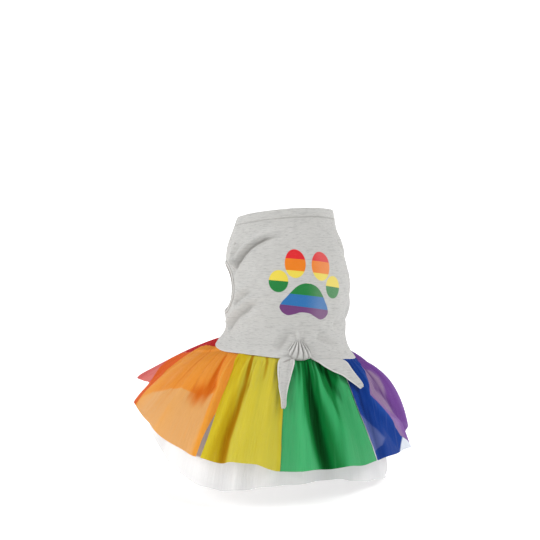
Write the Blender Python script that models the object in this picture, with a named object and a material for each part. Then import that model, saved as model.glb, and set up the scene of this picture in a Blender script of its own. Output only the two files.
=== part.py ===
# Dog dress: a jersey bodice, its knotted back hem, and a skirt of six gathered panels over an underskirt.
# +Z is up, the neck opening leans toward +Y, and the wearer's left side is -X. Lengths in metres, angles in
# degrees. Angles round the body start at the middle of the back and grow toward the wearer's left side.
# The origin is the inner face of the neck band at the middle of the back, where the dress sits on its wearer.

import math

import bmesh
import bpy
from mathutils import Matrix, Vector

# Bodice
BODICE_LENGTH = 0.1510
NECK_HALF_WIDTH = 0.0535
NECK_HALF_DEPTH = 0.0530
CHEST_HALF_WIDTH = 0.0690
CHEST_HALF_DEPTH = 0.0750
WAIST_HALF_WIDTH = 0.0645
WAIST_HALF_DEPTH = 0.0700
LEAN_FORWARD = 20.0
LEAN_SIDEWAYS = 5.6
BELLY_RISE = 0.022
HEM_FLARE = 0.0085
HEM_FLARE_HEIGHT = 0.024
JERSEY_WALL = 0.0014
CREASE_DEPTH = 0.0035
CREASE_FADE = 0.006

# Bands
NECK_BAND_HEIGHT = 0.0105
NECK_BAND_WALL = 0.0019
LEG_HOLE_ANGLE = 106.0
LEG_HOLE_ALONG = 0.47
LEG_HOLE_HALF_WIDTH = 0.0375
LEG_HOLE_HALF_HEIGHT = 0.0280
LEG_BAND_WIDTH = 0.0042
LEG_BAND_WALL = 0.0022

# Skirt
FLAP_COVER = 0.018
SKIRT_LENGTH = 0.116
UNDERSKIRT_EXTRA = 0.018
SHEER_WALL = 0.0010
FOLD_DEPTH = 0.0080
UNDER_FOLD_DEPTH = 0.0030
PANEL_GAP = 0.0008

# Knot and tails
KNOT_ANGLE = 5.8
KNOT_HALF_WIDTH = 0.0112
KNOT_HALF_HEIGHT = 0.0110
KNOT_RISE = 0.0070
KNOT_TAPER = 0.45
KNOT_THICKNESS = 0.0115
KNOT_PLEATS = 6
KNOT_PLEAT_DEPTH = 0.0011
KNOT_FAN = 1.6
TAIL_WALL = 0.0014
TAIL_LIFT = 0.0035
TAIL_CROWN = 0.0022

# Fits
CLEARANCE = 0.0003
PROBE_STEP = 0.0015

# Sections of the bodice from hem to neck.
# Columns: along (share of BODICE_LENGTH), half width, half depth, tilt (back edge up), roll (left edge down),
# sway toward the left side (share of CHEST_HALF_WIDTH).
BODICE_SECTIONS = (
    (0.00, 1.02 * WAIST_HALF_WIDTH, 1.02 * WAIST_HALF_DEPTH, 7.0, -5.5, 0.020),
    (0.14, 1.00 * WAIST_HALF_WIDTH, 1.00 * WAIST_HALF_DEPTH, 8.0, -4.5, 0.010),
    (0.30, 0.97 * CHEST_HALF_WIDTH, 0.97 * CHEST_HALF_DEPTH, 9.5, -3.0, 0.000),
    (0.46, 1.00 * CHEST_HALF_WIDTH, 1.00 * CHEST_HALF_DEPTH, 11.0, -2.0, 0.000),
    (0.64, 0.96 * CHEST_HALF_WIDTH, 0.96 * CHEST_HALF_DEPTH, 13.0, -1.0, 0.010),
    (0.78, 1.16 * NECK_HALF_WIDTH, 1.22 * NECK_HALF_DEPTH, 14.5, 0.0, 0.040),
    (0.88, 1.09 * NECK_HALF_WIDTH, 1.07 * NECK_HALF_DEPTH, 15.5, 0.0, 0.035),
    (1.00, 1.00 * NECK_HALF_WIDTH, 1.00 * NECK_HALF_DEPTH, 16.0, 0.0, 0.000),
)

# Creases of the bodice, each a bowed line between two points.
# Columns: angle and along of its start, angle and along of its end, bow (share of CHEST_HALF_WIDTH, up),
# half width (share of CHEST_HALF_WIDTH), depth (share of CREASE_DEPTH, below zero for a ridge).
BODICE_CREASES = (
    (68.0, 0.56, 30.0, 0.79, 0.09, 0.075, 1.0),
    (78.0, 0.62, 72.0, 0.80, 0.00, 0.090, 0.9),
    (68.0, 0.36, 46.0, 0.43, 0.00, 0.070, 0.7),
    (84.0, 0.18, 32.0, 0.36, 0.06, 0.085, 1.0),
    (-34.0, 0.20, -70.0, 0.34, 0.04, 0.100, 0.5),
)

# Stations of the skirt from its left front edge round the back to its right front edge.
# Columns: angle at the seam, heading in plan, slope below level at the top and at the hem, the underskirt's
# slopes at the top and at the hem, length (share of SKIRT_LENGTH), underskirt's length (share of its own).
SKIRT_STATIONS = (
    (-142.0, -112.0, 12.0, 70.0, 36.0, 82.0, 0.96, 1.000),
    (-118.0, -104.0, 8.0, 74.0, 38.0, 84.0, 0.98, 1.000),
    (-92.0, -94.0, 6.0, 76.0, 42.0, 84.0, 1.00, 1.010),
    (-68.0, -70.0, 24.0, 78.0, 54.0, 84.0, 1.00, 1.030),
    (-44.0, -32.0, 50.0, 74.0, 64.0, 84.0, 1.00, 0.985),
    (-17.0, -6.0, 50.0, 70.0, 62.0, 80.0, 1.00, 0.945),
    (11.0, 28.0, 48.0, 66.0, 60.0, 76.0, 1.00, 0.975),
    (38.0, 42.0, 46.0, 66.0, 58.0, 76.0, 1.00, 1.045),
    (66.0, 52.0, 44.0, 66.0, 56.0, 74.0, 1.01, 1.060),
    (90.0, 82.0, 30.0, 60.0, 44.0, 70.0, 0.955, 1.010),
    (114.0, 100.0, 20.0, 46.0, 34.0, 60.0, 1.000, 0.930),
    (146.0, 112.0, 18.0, 30.0, 30.0, 46.0, 1.000, 0.920),
)

# Panels, left front edge first.
# Columns: name, colour, seam angles of its two edges, how far each edge has moved round at the hem (degrees),
# length (share of the skirt's length there).
SKIRT_PANELS = (
    ("skirt_red", (0.62, 0.010, 0.020), 146.0, 130.0, 0.0, -12.0, 1.00),
    ("skirt_orange", (0.75, 0.270, 0.040), 130.0, 59.0, -12.0, 6.5, 1.00),
    ("skirt_yellow", (0.70, 0.600, 0.040), 59.0, 15.5, 3.5, -1.5, 1.00),
    ("skirt_green", (0.03, 0.300, 0.090), 15.5, -33.5, -1.5, -7.5, 1.00),
    ("skirt_blue", (0.02, 0.070, 0.400), -33.5, -68.0, -7.5, -9.0, 1.00),
    ("skirt_purple", (0.22, 0.080, 0.400), -68.0, -142.0, -9.0, 0.0, 0.90),
)

# Main folds of the skirt.
# Columns: angle at the waist, angle at the hem, half width (degrees), height (share of FOLD_DEPTH).
SKIRT_FOLDS = (
    (140.0, 140.0, 9.0, 0.6),
    (128.0, 128.0, 7.0, -0.5),
    (112.0, 112.0, 7.0, 0.6),
    (98.0, 98.0, 8.0, -0.4),
    (88.0, 91.0, 7.0, 0.6),
    (76.0, 82.0, 7.0, -0.6),
    (65.0, 67.0, 5.0, 0.6),
    (50.0, 58.0, 5.0, 0.7),
    (44.0, 49.0, 5.0, -0.8),
    (37.0, 38.0, 7.0, 0.6),
    (19.0, 16.0, 5.0, -0.3),
    (9.0, 2.0, 5.0, 0.9),
    (0.0, -8.5, 5.0, -0.9),
    (-6.0, -18.0, 7.0, 0.8),
    (-26.0, -34.0, 6.0, 0.4),
    (-41.0, -46.0, 5.0, -0.4),
    (-54.0, -69.0, 6.0, 0.7),
    (-66.0, -79.0, 6.0, -0.4),
    (-78.0, -86.0, 8.0, 0.7),
    (-94.0, -98.0, 7.0, -0.5),
    (-110.0, -112.0, 8.0, 0.8),
    (-128.0, -130.0, 7.0, -0.4),
)

# The two tails from root to tip.
# Columns: share of the tail's length, angle and distance below the flap of its left edge, then of its right
# edge. Distances are shares of SKIRT_LENGTH.
LEFT_TAIL = (
    (0.00, 20.0, -0.035, 11.0, -0.035),
    (0.15, 23.0, 0.035, 11.2, 0.020),
    (0.30, 23.8, 0.100, 12.2, 0.090),
    (0.55, 22.0, 0.235, 14.0, 0.225),
    (0.80, 19.0, 0.365, 15.0, 0.360),
    (1.00, 17.0, 0.485, 15.2, 0.480),
)
RIGHT_TAIL = (
    (0.00, -1.0, -0.030, -33.0, -0.040),
    (0.15, -7.5, 0.025, -35.0, -0.005),
    (0.35, -13.5, 0.082, -36.5, 0.043),
    (0.55, -20.0, 0.130, -37.5, 0.108),
    (0.75, -28.0, 0.195, -39.5, 0.177),
    (0.92, -36.0, 0.272, -42.0, 0.245),
    (1.00, -39.5, 0.300, -43.0, 0.280),
)

# Rows of a skirt layer from its seam to its hem.
# Columns: share of the stretch that the flap covers, share of the free stretch.
SKIRT_ROWS = (
    (0.00, 0.00),
    (0.25, 0.00),
    (0.50, 0.00),
    (0.75, 0.00),
    (1.00, 0.00),
    (1.00, 0.03),
    (1.00, 0.07),
    (1.00, 0.12),
    (1.00, 0.20),
    (1.00, 0.33),
    (1.00, 0.50),
    (1.00, 0.74),
    (1.00, 1.00),
)

# Counts, and shares that shape the way the cloth goes.
AROUND = 48
BODICE_ROWS = 17
PANEL_COLUMNS = 12
UNDERSKIRT_COLUMNS = 40
LEG_BAND_STEPS = 32
KNOT_AROUND = 20
KNOT_ROWS = 10
TAIL_COLUMNS = 6
TAIL_ROWS = 9
PATH_STEPS = 24
TURN_LENGTH = 0.06
HEADING_LENGTH = 0.35
BELLY_START = 70.0
FLARE_AT_BACK = 0.35
FLARE_FULL = 60.0
LIP_SHARE = 0.55
LIP_PLACE = 1.7
UNDER_FOLD_COUNT = 10.0


def smooth(x):
    x = min(1.0, max(0.0, x))
    return x * x * (3.0 - 2.0 * x)


def blend(rows, x):
    """Every other column of a table at x, on a smooth curve through its rows; the first column is x."""
    last = len(rows) - 2
    index = 0
    while index < last and rows[index + 1][0] <= x:
        index += 1
    low = rows[index]
    high = rows[index + 1]
    before = rows[max(index - 1, 0)]
    after = rows[min(index + 2, last + 1)]
    step = high[0] - low[0]
    inside = min(1.0, max(0.0, (x - low[0]) / step))
    beyond = (x - low[0]) / step - inside
    values = []
    for column in range(1, len(low)):
        leave = (high[column] - before[column]) / (high[0] - before[0]) * step
        arrive = (after[column] - low[column]) / (after[0] - low[0]) * step
        bend = inside * inside * (3.0 - 2.0 * inside)
        value = low[column] + (high[column] - low[column]) * bend
        value += leave * inside * (1.0 - inside) ** 2 - arrive * inside ** 2 * (1.0 - inside)
        value += beyond * (leave if beyond < 0.0 else arrive)
        values.append(value)
    return values


def radial(angle):
    """Level direction at an angle round the body."""
    return Vector((-math.sin(math.radians(angle)), -math.cos(math.radians(angle)), 0.0))


def section_turn(tilt, roll):
    return Matrix.Rotation(math.radians(-roll), 3, "Y") @ Matrix.Rotation(math.radians(-tilt), 3, "X")


AXIS = Vector((math.tan(math.radians(LEAN_SIDEWAYS)), math.tan(math.radians(LEAN_FORWARD)), 1.0)).normalized()
NECK_TILT = BODICE_SECTIONS[-1][3]
NECK_CENTRE = section_turn(NECK_TILT, 0.0) @ Vector((0.0, NECK_HALF_DEPTH - NECK_BAND_WALL, 0.0))


def hem_along(angle):
    """Share of the bodice's length at which its hem lies; the belly side is cut higher."""
    return BELLY_RISE / BODICE_LENGTH * smooth((abs(angle) - BELLY_START) / (180.0 - BELLY_START))


def crease_height(angle, along, half_width):
    """Push of the creases on the jersey at a place; they end at the binding of the leg holes."""
    height = 0.0
    here = Vector((math.radians(angle) * half_width, along * BODICE_LENGTH))
    for start_angle, start_along, end_angle, end_along, bow, spread, depth in BODICE_CREASES:
        start = Vector((math.radians(start_angle) * half_width, start_along * BODICE_LENGTH))
        end = Vector((math.radians(end_angle) * half_width, end_along * BODICE_LENGTH))
        run = end - start
        share = (here - start).dot(run) / run.length_squared
        held = min(1.0, max(0.0, share))
        line = start + run * held + Vector((0.0, bow * CHEST_HALF_WIDTH * 4.0 * held * (1.0 - held)))
        offset = here - line
        away = offset.length / (spread * CHEST_HALF_WIDTH)
        above = 0.5 + 0.5 * offset.y / max(offset.length, 1e-6)
        groove = math.exp(-away * away) - LIP_SHARE * above * math.exp(-(away - LIP_PLACE) ** 2)
        height -= groove * depth * CREASE_DEPTH
    hole = Vector((math.radians(LEG_HOLE_ANGLE) * half_width, LEG_HOLE_ALONG * BODICE_LENGTH))
    off = Vector((abs(here.x), here.y)) - hole
    edge = Vector((LEG_HOLE_HALF_WIDTH + LEG_BAND_WIDTH, LEG_HOLE_HALF_HEIGHT + LEG_BAND_WIDTH))
    free = (math.hypot(off.x / edge.x, off.y / edge.y) - 1.0) * edge.y
    return height * smooth(free / CREASE_FADE)


def bodice_base(angle, along):
    half_width, half_depth, tilt, roll, sway = blend(BODICE_SECTIONS, along)
    above_hem = (along - hem_along(angle)) * BODICE_LENGTH
    flare = HEM_FLARE * max(0.0, 1.0 - above_hem / HEM_FLARE_HEIGHT) ** 2
    flare *= FLARE_AT_BACK + (1.0 - FLARE_AT_BACK) * smooth(abs(angle) / FLARE_FULL)
    push = flare + crease_height(angle, along, half_width)
    turn = math.radians(angle)
    flat = Vector((-math.sin(turn) * (half_width + push), -math.cos(turn) * (half_depth + push), 0.0))
    centre = NECK_CENTRE + AXIS * (along - 1.0) * BODICE_LENGTH + radial(90.0) * (sway * CHEST_HALF_WIDTH)
    return centre + section_turn(tilt, roll) @ flat


def outward(surface, across, down, step_across, step_down):
    """Unit direction square to a surface, by small steps along its two directions."""
    side = surface(across + step_across, down) - surface(across - step_across, down)
    fall = surface(across, down + step_down) - surface(across, down - step_down)
    return side.cross(fall).normalized()


def bodice_point(angle, along, lift=0.0):
    """Point on the jersey's outer face, lifted square to it."""
    base = bodice_base(angle, along)
    if lift == 0.0:
        return base
    return base + outward(bodice_base, angle, along, 1.0, -0.01) * lift


def station_values(angle):
    return blend(SKIRT_STATIONS, angle)


def skirt_base(angle, distance, under):
    """Point of a skirt layer at a distance below the seam, before its folds."""
    heading, top, hem, under_top, under_hem, share, under_share = station_values(angle)
    length = SKIRT_LENGTH * share
    slope_top = top
    slope_hem = hem
    inset = JERSEY_WALL + 2.0 * CLEARANCE
    if under:
        slope_top = under_top
        slope_hem = under_hem
        length = (length + UNDERSKIRT_EXTRA) * under_share
        inset += SHEER_WALL + 3.0 * CLEARANCE
    cover = FLAP_COVER + 2.0 * JERSEY_WALL
    seam = hem_along(angle) + FLAP_COVER / BODICE_LENGTH
    held = min(distance, cover)
    point = bodice_point(angle, seam - held / BODICE_LENGTH, -inset)
    if distance <= cover:
        return point
    above = bodice_point(angle, seam - (cover - PROBE_STEP) / BODICE_LENGTH, -inset)
    fall = point - above
    first_slope = math.degrees(math.atan2(-fall.z, fall.xy.length))
    step = (distance - cover) / PATH_STEPS
    for index in range(PATH_STEPS):
        gone = (index + 0.5) * step / length
        turned = smooth(gone / TURN_LENGTH)
        settled = 1.0 - (1.0 - min(1.0, gone)) ** 2
        slope = slope_top + (slope_hem - slope_top) * settled
        slope = first_slope + (slope - first_slope) * turned
        way = angle + (heading - angle) * smooth(gone / HEADING_LENGTH)
        slope = math.radians(slope)
        point = point + radial(way) * (math.cos(slope) * step) - Vector((0.0, 0.0, math.sin(slope) * step))
    return point


def fold_height(angle, distance, under):
    """Push of the folds; it grows from nothing under the flap to its full size at the hem."""
    cover = FLAP_COVER + 2.0 * JERSEY_WALL
    gone = (distance - cover) / SKIRT_LENGTH
    if gone <= 0.0:
        return 0.0
    growth = smooth(gone / 1.1) * 0.6 + 0.4 * min(1.0, gone)
    if under:
        return UNDER_FOLD_DEPTH * growth * math.sin(math.radians(angle * UNDER_FOLD_COUNT))
    height = 0.0
    for waist_angle, hem_angle, spread, share in SKIRT_FOLDS:
        middle = waist_angle + (hem_angle - waist_angle) * min(1.0, gone)
        away = (angle - middle) / spread
        height += share * math.exp(-away * away)
    return FOLD_DEPTH * growth * height


def skirt_point(angle, distance, under=False, lift=0.0, folded=True):
    def base(across, down):
        return skirt_base(across, down, under)

    push = lift
    if folded:
        push += fold_height(angle, distance, under)
    face = outward(base, angle, distance, 1.0, PROBE_STEP)
    return base(angle, distance) + face * push


def hem_distance(angle, under):
    share, under_share = station_values(angle)[5:]
    length = SKIRT_LENGTH * share
    if under:
        length = (length + UNDERSKIRT_EXTRA) * under_share
    return FLAP_COVER + 2.0 * JERSEY_WALL + length


def material(name, colour, roughness):
    made = bpy.data.materials.new(name)
    made.use_nodes = True
    shader = made.node_tree.nodes["Principled BSDF"]
    shader.inputs["Base Color"].default_value = (*colour, 1.0)
    shader.inputs["Roughness"].default_value = roughness
    shader.inputs["Metallic"].default_value = 0.0
    return made


def add_object(name, shape, finish):
    mesh = bpy.data.meshes.new(name)
    shape.to_mesh(mesh)
    shape.free()
    mesh.shade_smooth()
    mesh.materials.append(finish)
    made = bpy.data.objects.new(name, mesh)
    bpy.context.scene.collection.objects.link(made)
    return made


def thicken(made, wall, centred=False):
    shell = made.modifiers.new("wall", "SOLIDIFY")
    shell.thickness = wall
    shell.offset = 0.0 if centred else -1.0
    shell.use_even_offset = True
    return shell


def tube(rings):
    """Open tube through rings of points, bottom ring first."""
    shape = bmesh.new()
    first = bmesh.ops.create_circle(shape, segments=len(rings[0]), radius=1.0)["verts"]
    edges = list(shape.edges)
    loop = ring_order(first)
    for vertex, point in zip(loop, rings[0]):
        vertex.co = point
    for ring in rings[1:]:
        made = bmesh.ops.extrude_edge_only(shape, edges=edges)["geom"]
        edges = [item for item in made if isinstance(item, bmesh.types.BMEdge) and item.is_boundary]
        fresh = set(item for item in made if isinstance(item, bmesh.types.BMVert))
        above = []
        for vertex in loop:
            above.append(next(edge.other_vert(vertex) for edge in vertex.link_edges
                              if edge.other_vert(vertex) in fresh))
        loop = above
        for vertex, point in zip(loop, ring):
            vertex.co = point
    shape.normal_update()
    middle = sum((vertex.co for vertex in shape.verts), Vector()) / len(shape.verts)
    facing = sum(face.normal.dot(face.calc_center_median() - middle) for face in shape.faces)
    if facing < 0.0:
        bmesh.ops.reverse_faces(shape, faces=list(shape.faces))
    return shape


def ring_order(vertices):
    """The same vertices in order along their ring."""
    order = [vertices[0]]
    while len(order) < len(vertices):
        step = next(edge.other_vert(order[-1]) for edge in order[-1].link_edges
                    if edge.other_vert(order[-1]) not in order[-2:])
        order.append(step)
    return order


def sheet(columns, rows, place):
    """Sheet of quads; place gives the point at a share across and a share down."""
    shape = bmesh.new()
    bmesh.ops.create_grid(shape, x_segments=columns, y_segments=rows, size=0.5)
    for vertex in shape.verts:
        vertex.co = place(vertex.co.x + 0.5, 0.5 - vertex.co.y)
    return shape


def around_angles(count):
    return [360.0 * index / count - 180.0 for index in range(count)]


def build_bodice(finish):
    top = 1.0 - (NECK_BAND_HEIGHT + CLEARANCE) / BODICE_LENGTH
    rings = []
    for row in range(BODICE_ROWS + 1):
        share = row / BODICE_ROWS
        ring = []
        for angle in around_angles(AROUND):
            low = hem_along(angle)
            ring.append(bodice_point(angle, low + (top - low) * share))
        rings.append(ring)
    made = add_object("bodice", tube(rings), finish)
    thicken(made, JERSEY_WALL)
    for side in (1.0, -1.0):
        cutter = leg_plug(side)
        cut = made.modifiers.new("leg_hole", "BOOLEAN")
        cut.operation = "DIFFERENCE"
        cut.solver = "EXACT"
        cut.object = cutter
    return made


def leg_outline(side, grow, lift):
    """Loop of points round a leg hole, outside its edge by a distance."""
    half_width = blend(BODICE_SECTIONS, LEG_HOLE_ALONG)[0]
    loop = []
    for index in range(LEG_BAND_STEPS):
        turn = 2.0 * math.pi * index / LEG_BAND_STEPS
        angle = LEG_HOLE_ANGLE + math.degrees((LEG_HOLE_HALF_WIDTH + grow) * math.cos(turn) / half_width)
        along = LEG_HOLE_ALONG + (LEG_HOLE_HALF_HEIGHT + grow) * math.sin(turn) / BODICE_LENGTH
        loop.append(bodice_point(side * angle, along, lift))
    return loop


def leg_plug(side):
    """Solid that cuts one leg hole, wide enough for the band in it."""
    grow = LEG_BAND_WIDTH + 1.5 * CLEARANCE
    reach = 4.0 * JERSEY_WALL
    shape = bmesh.new()
    loops = []
    for lift in (-reach - JERSEY_WALL, reach):
        loop = [shape.verts.new(point) for point in leg_outline(side, grow, lift)]
        middle = shape.verts.new(bodice_point(side * LEG_HOLE_ANGLE, LEG_HOLE_ALONG, lift))
        for index in range(LEG_BAND_STEPS):
            shape.faces.new((loop[index], loop[(index + 1) % LEG_BAND_STEPS], middle))
        loops.append(loop)
    for index in range(LEG_BAND_STEPS):
        after = (index + 1) % LEG_BAND_STEPS
        shape.faces.new((loops[0][index], loops[0][after], loops[1][after], loops[1][index]))
    bmesh.ops.recalc_face_normals(shape, faces=list(shape.faces))
    cutter = add_object("leg_hole_cutter", shape, None)
    cutter.hide_render = True
    cutter.display_type = "WIRE"
    return cutter


def build_leg_band(name, side, finish):
    """Ring of binding that fills the edge of a leg hole."""
    spare = 0.5 * (LEG_BAND_WALL - JERSEY_WALL)
    high = spare
    low = -JERSEY_WALL - spare
    rings = [
        leg_outline(side, LEG_BAND_WIDTH, low),
        leg_outline(side, LEG_BAND_WIDTH, high),
        leg_outline(side, 0.0, high),
        leg_outline(side, 0.0, low),
    ]
    shape = tube(rings)
    edges = [edge for edge in shape.edges if edge.is_boundary]
    bmesh.ops.bridge_loops(shape, edges=edges)
    bmesh.ops.recalc_face_normals(shape, faces=list(shape.faces))
    return add_object(name, shape, finish)


def build_neck_band(finish):
    spare = 0.5 * (NECK_BAND_WALL - JERSEY_WALL)
    bottom = 1.0 - NECK_BAND_HEIGHT / BODICE_LENGTH
    rings = []
    for share in (0.0, 0.5, 1.0):
        along = bottom + (1.0 - bottom) * share
        rings.append([bodice_point(angle, along, spare) for angle in around_angles(AROUND)])
    made = add_object("neck_band", tube(rings), finish)
    thicken(made, NECK_BAND_WALL)
    return made


def row_distance(angle, under, down):
    """Distance below the seam of a row; rows lie close together where the cloth turns out under the flap."""
    cover = FLAP_COVER + 2.0 * JERSEY_WALL
    row = down * (len(SKIRT_ROWS) - 1)
    index = min(len(SKIRT_ROWS) - 2, int(row))
    covered, free = (SKIRT_ROWS[index][k] + (SKIRT_ROWS[index + 1][k] - SKIRT_ROWS[index][k]) * (row - index)
                     for k in (0, 1))
    return cover * covered + (hem_distance(angle, under) - cover) * free


def build_panel(name, finish, first, last, first_move, last_move, share):
    gap = math.degrees(PANEL_GAP / WAIST_HALF_WIDTH)

    def place(across, down):
        gone = SKIRT_ROWS[round(down * (len(SKIRT_ROWS) - 1))][1]
        left = first - 0.5 * gap + first_move * gone * share
        right = last + 0.5 * gap + last_move * gone * share
        angle = left + (right - left) * across
        return skirt_point(angle, row_distance(angle, False, down) * (1.0 - (1.0 - share) * gone))

    made = add_object(name, sheet(PANEL_COLUMNS, len(SKIRT_ROWS) - 1, place), finish)
    thicken(made, SHEER_WALL)
    return made


def build_underskirt(finish):
    first = SKIRT_STATIONS[-1][0]
    last = SKIRT_STATIONS[0][0]

    def place(across, down):
        angle = first + (last - first) * across
        return skirt_point(angle, row_distance(angle, True, down), True)

    made = add_object("underskirt", sheet(UNDERSKIRT_COLUMNS, len(SKIRT_ROWS) - 1, place), finish)
    thicken(made, SHEER_WALL)
    return made


def build_knot(name, finish, grow=0.0):
    """Pebble of gathered jersey on the hem, narrow at its top, its pleats fanning down from there."""
    shape = bmesh.new()
    bmesh.ops.create_uvsphere(shape, u_segments=KNOT_AROUND, v_segments=KNOT_ROWS, radius=1.0)
    half_width = KNOT_HALF_WIDTH + grow
    half_height = KNOT_HALF_HEIGHT + grow
    for vertex in shape.verts:
        x, y, z = vertex.co
        fan = math.atan2(x, KNOT_FAN - z) / math.atan(1.0 / KNOT_FAN)
        pleat = KNOT_PLEAT_DEPTH * math.cos(fan * KNOT_PLEATS * math.pi) * max(0.0, -y)
        wide = half_width * (1.0 - KNOT_TAPER * z)
        angle = KNOT_ANGLE - math.degrees(x * wide / WAIST_HALF_WIDTH)
        along = (z * half_height + KNOT_RISE) / BODICE_LENGTH
        lift = CLEARANCE - grow + (KNOT_THICKNESS + 2.0 * grow) * 0.5 * (1.0 - y) + pleat
        vertex.co = bodice_point(angle, along, lift)
    bmesh.ops.recalc_face_normals(shape, faces=list(shape.faces))
    return add_object(name, shape, finish)


def build_tail(name, finish, outline, cutter):
    """Pointed tail that lies over the skirt, from under the knot."""
    cover = FLAP_COVER + 2.0 * JERSEY_WALL

    def place(across, down):
        left_angle, left_distance, right_angle, right_distance = blend(outline, down)
        angle = left_angle + (right_angle - left_angle) * across
        distance = cover + SKIRT_LENGTH * (left_distance + (right_distance - left_distance) * across)
        rise = max(0.0, fold_height(angle, distance, False))
        crown = TAIL_CROWN * (1.0 - (2.0 * across - 1.0) ** 2)
        return skirt_point(angle, distance, False, TAIL_LIFT + TAIL_WALL + rise + crown, False)

    made = add_object(name, sheet(TAIL_COLUMNS, TAIL_ROWS, place), finish)
    thicken(made, TAIL_WALL)
    cut = made.modifiers.new("knot_gap", "BOOLEAN")
    cut.operation = "DIFFERENCE"
    cut.solver = "EXACT"
    cut.object = cutter
    return made


for old in list(bpy.data.objects):
    bpy.data.objects.remove(old, do_unlink=True)

jersey = material("heather_jersey", (0.56, 0.56, 0.55), 0.9)
sheer_white = material("sheer_white", (0.86, 0.86, 0.86), 0.6)
build_bodice(jersey)
build_neck_band(jersey)
build_leg_band("leg_band_left", 1.0, jersey)
build_leg_band("leg_band_right", -1.0, jersey)
for panel_name, panel_colour, *panel_shape in SKIRT_PANELS:
    build_panel(panel_name, material(panel_name, panel_colour, 0.5), *panel_shape)
build_underskirt(sheer_white)
build_knot("knot", jersey)
knot_cutter = build_knot("knot_cutter", jersey, CLEARANCE)
knot_cutter.hide_render = True
knot_cutter.display_type = "WIRE"
build_tail("tie_tail_left", jersey, LEFT_TAIL, knot_cutter)
build_tail("tie_tail_right", jersey, RIGHT_TAIL, knot_cutter)
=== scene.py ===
import math

import bmesh
import bpy
import numpy as np
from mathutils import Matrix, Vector


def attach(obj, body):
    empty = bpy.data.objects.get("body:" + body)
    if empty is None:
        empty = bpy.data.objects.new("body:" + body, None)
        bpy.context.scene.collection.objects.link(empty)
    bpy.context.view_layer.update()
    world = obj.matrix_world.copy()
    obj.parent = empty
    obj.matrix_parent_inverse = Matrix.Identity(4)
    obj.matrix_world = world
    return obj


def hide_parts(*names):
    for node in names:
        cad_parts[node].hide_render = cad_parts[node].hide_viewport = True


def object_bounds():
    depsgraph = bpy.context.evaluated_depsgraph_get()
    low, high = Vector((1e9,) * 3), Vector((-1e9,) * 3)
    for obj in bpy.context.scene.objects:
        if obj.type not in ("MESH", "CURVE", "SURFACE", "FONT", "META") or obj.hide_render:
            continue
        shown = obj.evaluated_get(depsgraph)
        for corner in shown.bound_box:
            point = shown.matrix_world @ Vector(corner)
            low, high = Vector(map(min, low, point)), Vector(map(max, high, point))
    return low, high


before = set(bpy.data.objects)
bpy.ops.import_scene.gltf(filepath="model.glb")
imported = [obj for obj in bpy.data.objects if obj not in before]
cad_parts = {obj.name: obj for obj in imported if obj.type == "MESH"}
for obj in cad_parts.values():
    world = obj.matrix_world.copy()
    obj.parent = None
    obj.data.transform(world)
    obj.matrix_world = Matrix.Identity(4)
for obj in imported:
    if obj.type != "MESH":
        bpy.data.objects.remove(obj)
cad_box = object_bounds()

# Studio: a wide pale floor just under the skirt's hem, a white world and large soft lights. The camera stands
# behind the dress, a little to its left and above it, at the photograph's viewing angle.
CAMERA_TURN = -16.0
CAMERA_RISE = 10.0
CAMERA_DISTANCE = 1.8
CAMERA_LENS = 111.11
CAMERA_LEFT = 0.0308
CAMERA_DOWN = 0.0670
FLOOR_DROP = 0.004
FLOOR_RADIUS = 58.0
FLOOR_SEGMENTS = 96
FLOOR_COLOUR = (0.93, 0.93, 0.93)
FLOOR_ROUGHNESS = 0.9
FLOOR_GLOW = 0.35
WORLD_STRENGTH = 0.41
# Lights: name, turn, rise and width of the lamp in degrees, strength.
LIGHTS = (
    ("key_light", 66.0, 44.0, 32.0, 1.60),
    ("fill_light", -90.0, 30.0, 45.0, 1.75),
    ("back_light", 170.0, 50.0, 50.0, 0.55),
)


def direction(turn, rise):
    """Way out from the dress, in degrees: turn round it from its back, and rise above the floor."""
    turn = math.radians(turn)
    rise = math.radians(rise)
    return Vector((math.sin(turn) * math.cos(rise), -math.cos(turn) * math.cos(rise), math.sin(rise)))


camera_back = direction(CAMERA_TURN, CAMERA_RISE)
camera_right = Vector((math.cos(math.radians(CAMERA_TURN)), math.sin(math.radians(CAMERA_TURN)), 0.0))
camera_up = camera_back.cross(camera_right)
camera_data = bpy.data.cameras.new("photo_camera")
camera_data.lens = CAMERA_LENS
camera_data.clip_end = 100.0
camera = bpy.data.objects.new("photo_camera", camera_data)
camera.location = camera_back * CAMERA_DISTANCE - camera_right * CAMERA_LEFT - camera_up * CAMERA_DOWN
camera.rotation_euler = camera_back.to_track_quat("Z", "Y").to_euler()
bpy.context.scene.collection.objects.link(camera)
bpy.context.scene.camera = camera
bpy.context.scene.view_settings.view_transform = "Standard"

world = bpy.data.worlds.new("white_room")
world.use_nodes = True
background = world.node_tree.nodes["Background"].inputs
background["Color"].default_value = (1.0, 1.0, 1.0, 1.0)
background["Strength"].default_value = WORLD_STRENGTH
bpy.context.scene.world = world

for name, turn, rise, width, strength in LIGHTS:
    light = bpy.data.lights.new(name, "SUN")
    light.angle = math.radians(width)
    light.energy = strength
    lamp = bpy.data.objects.new(name, light)
    lamp.rotation_euler = direction(turn, rise).to_track_quat("Z", "Y").to_euler()
    bpy.context.scene.collection.objects.link(lamp)


def make_object(name, shape, finish):
    mesh = bpy.data.meshes.new(name)
    shape.to_mesh(mesh)
    shape.free()
    mesh.materials.append(finish)
    made = bpy.data.objects.new(name, mesh)
    bpy.context.scene.collection.objects.link(made)
    return made


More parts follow.
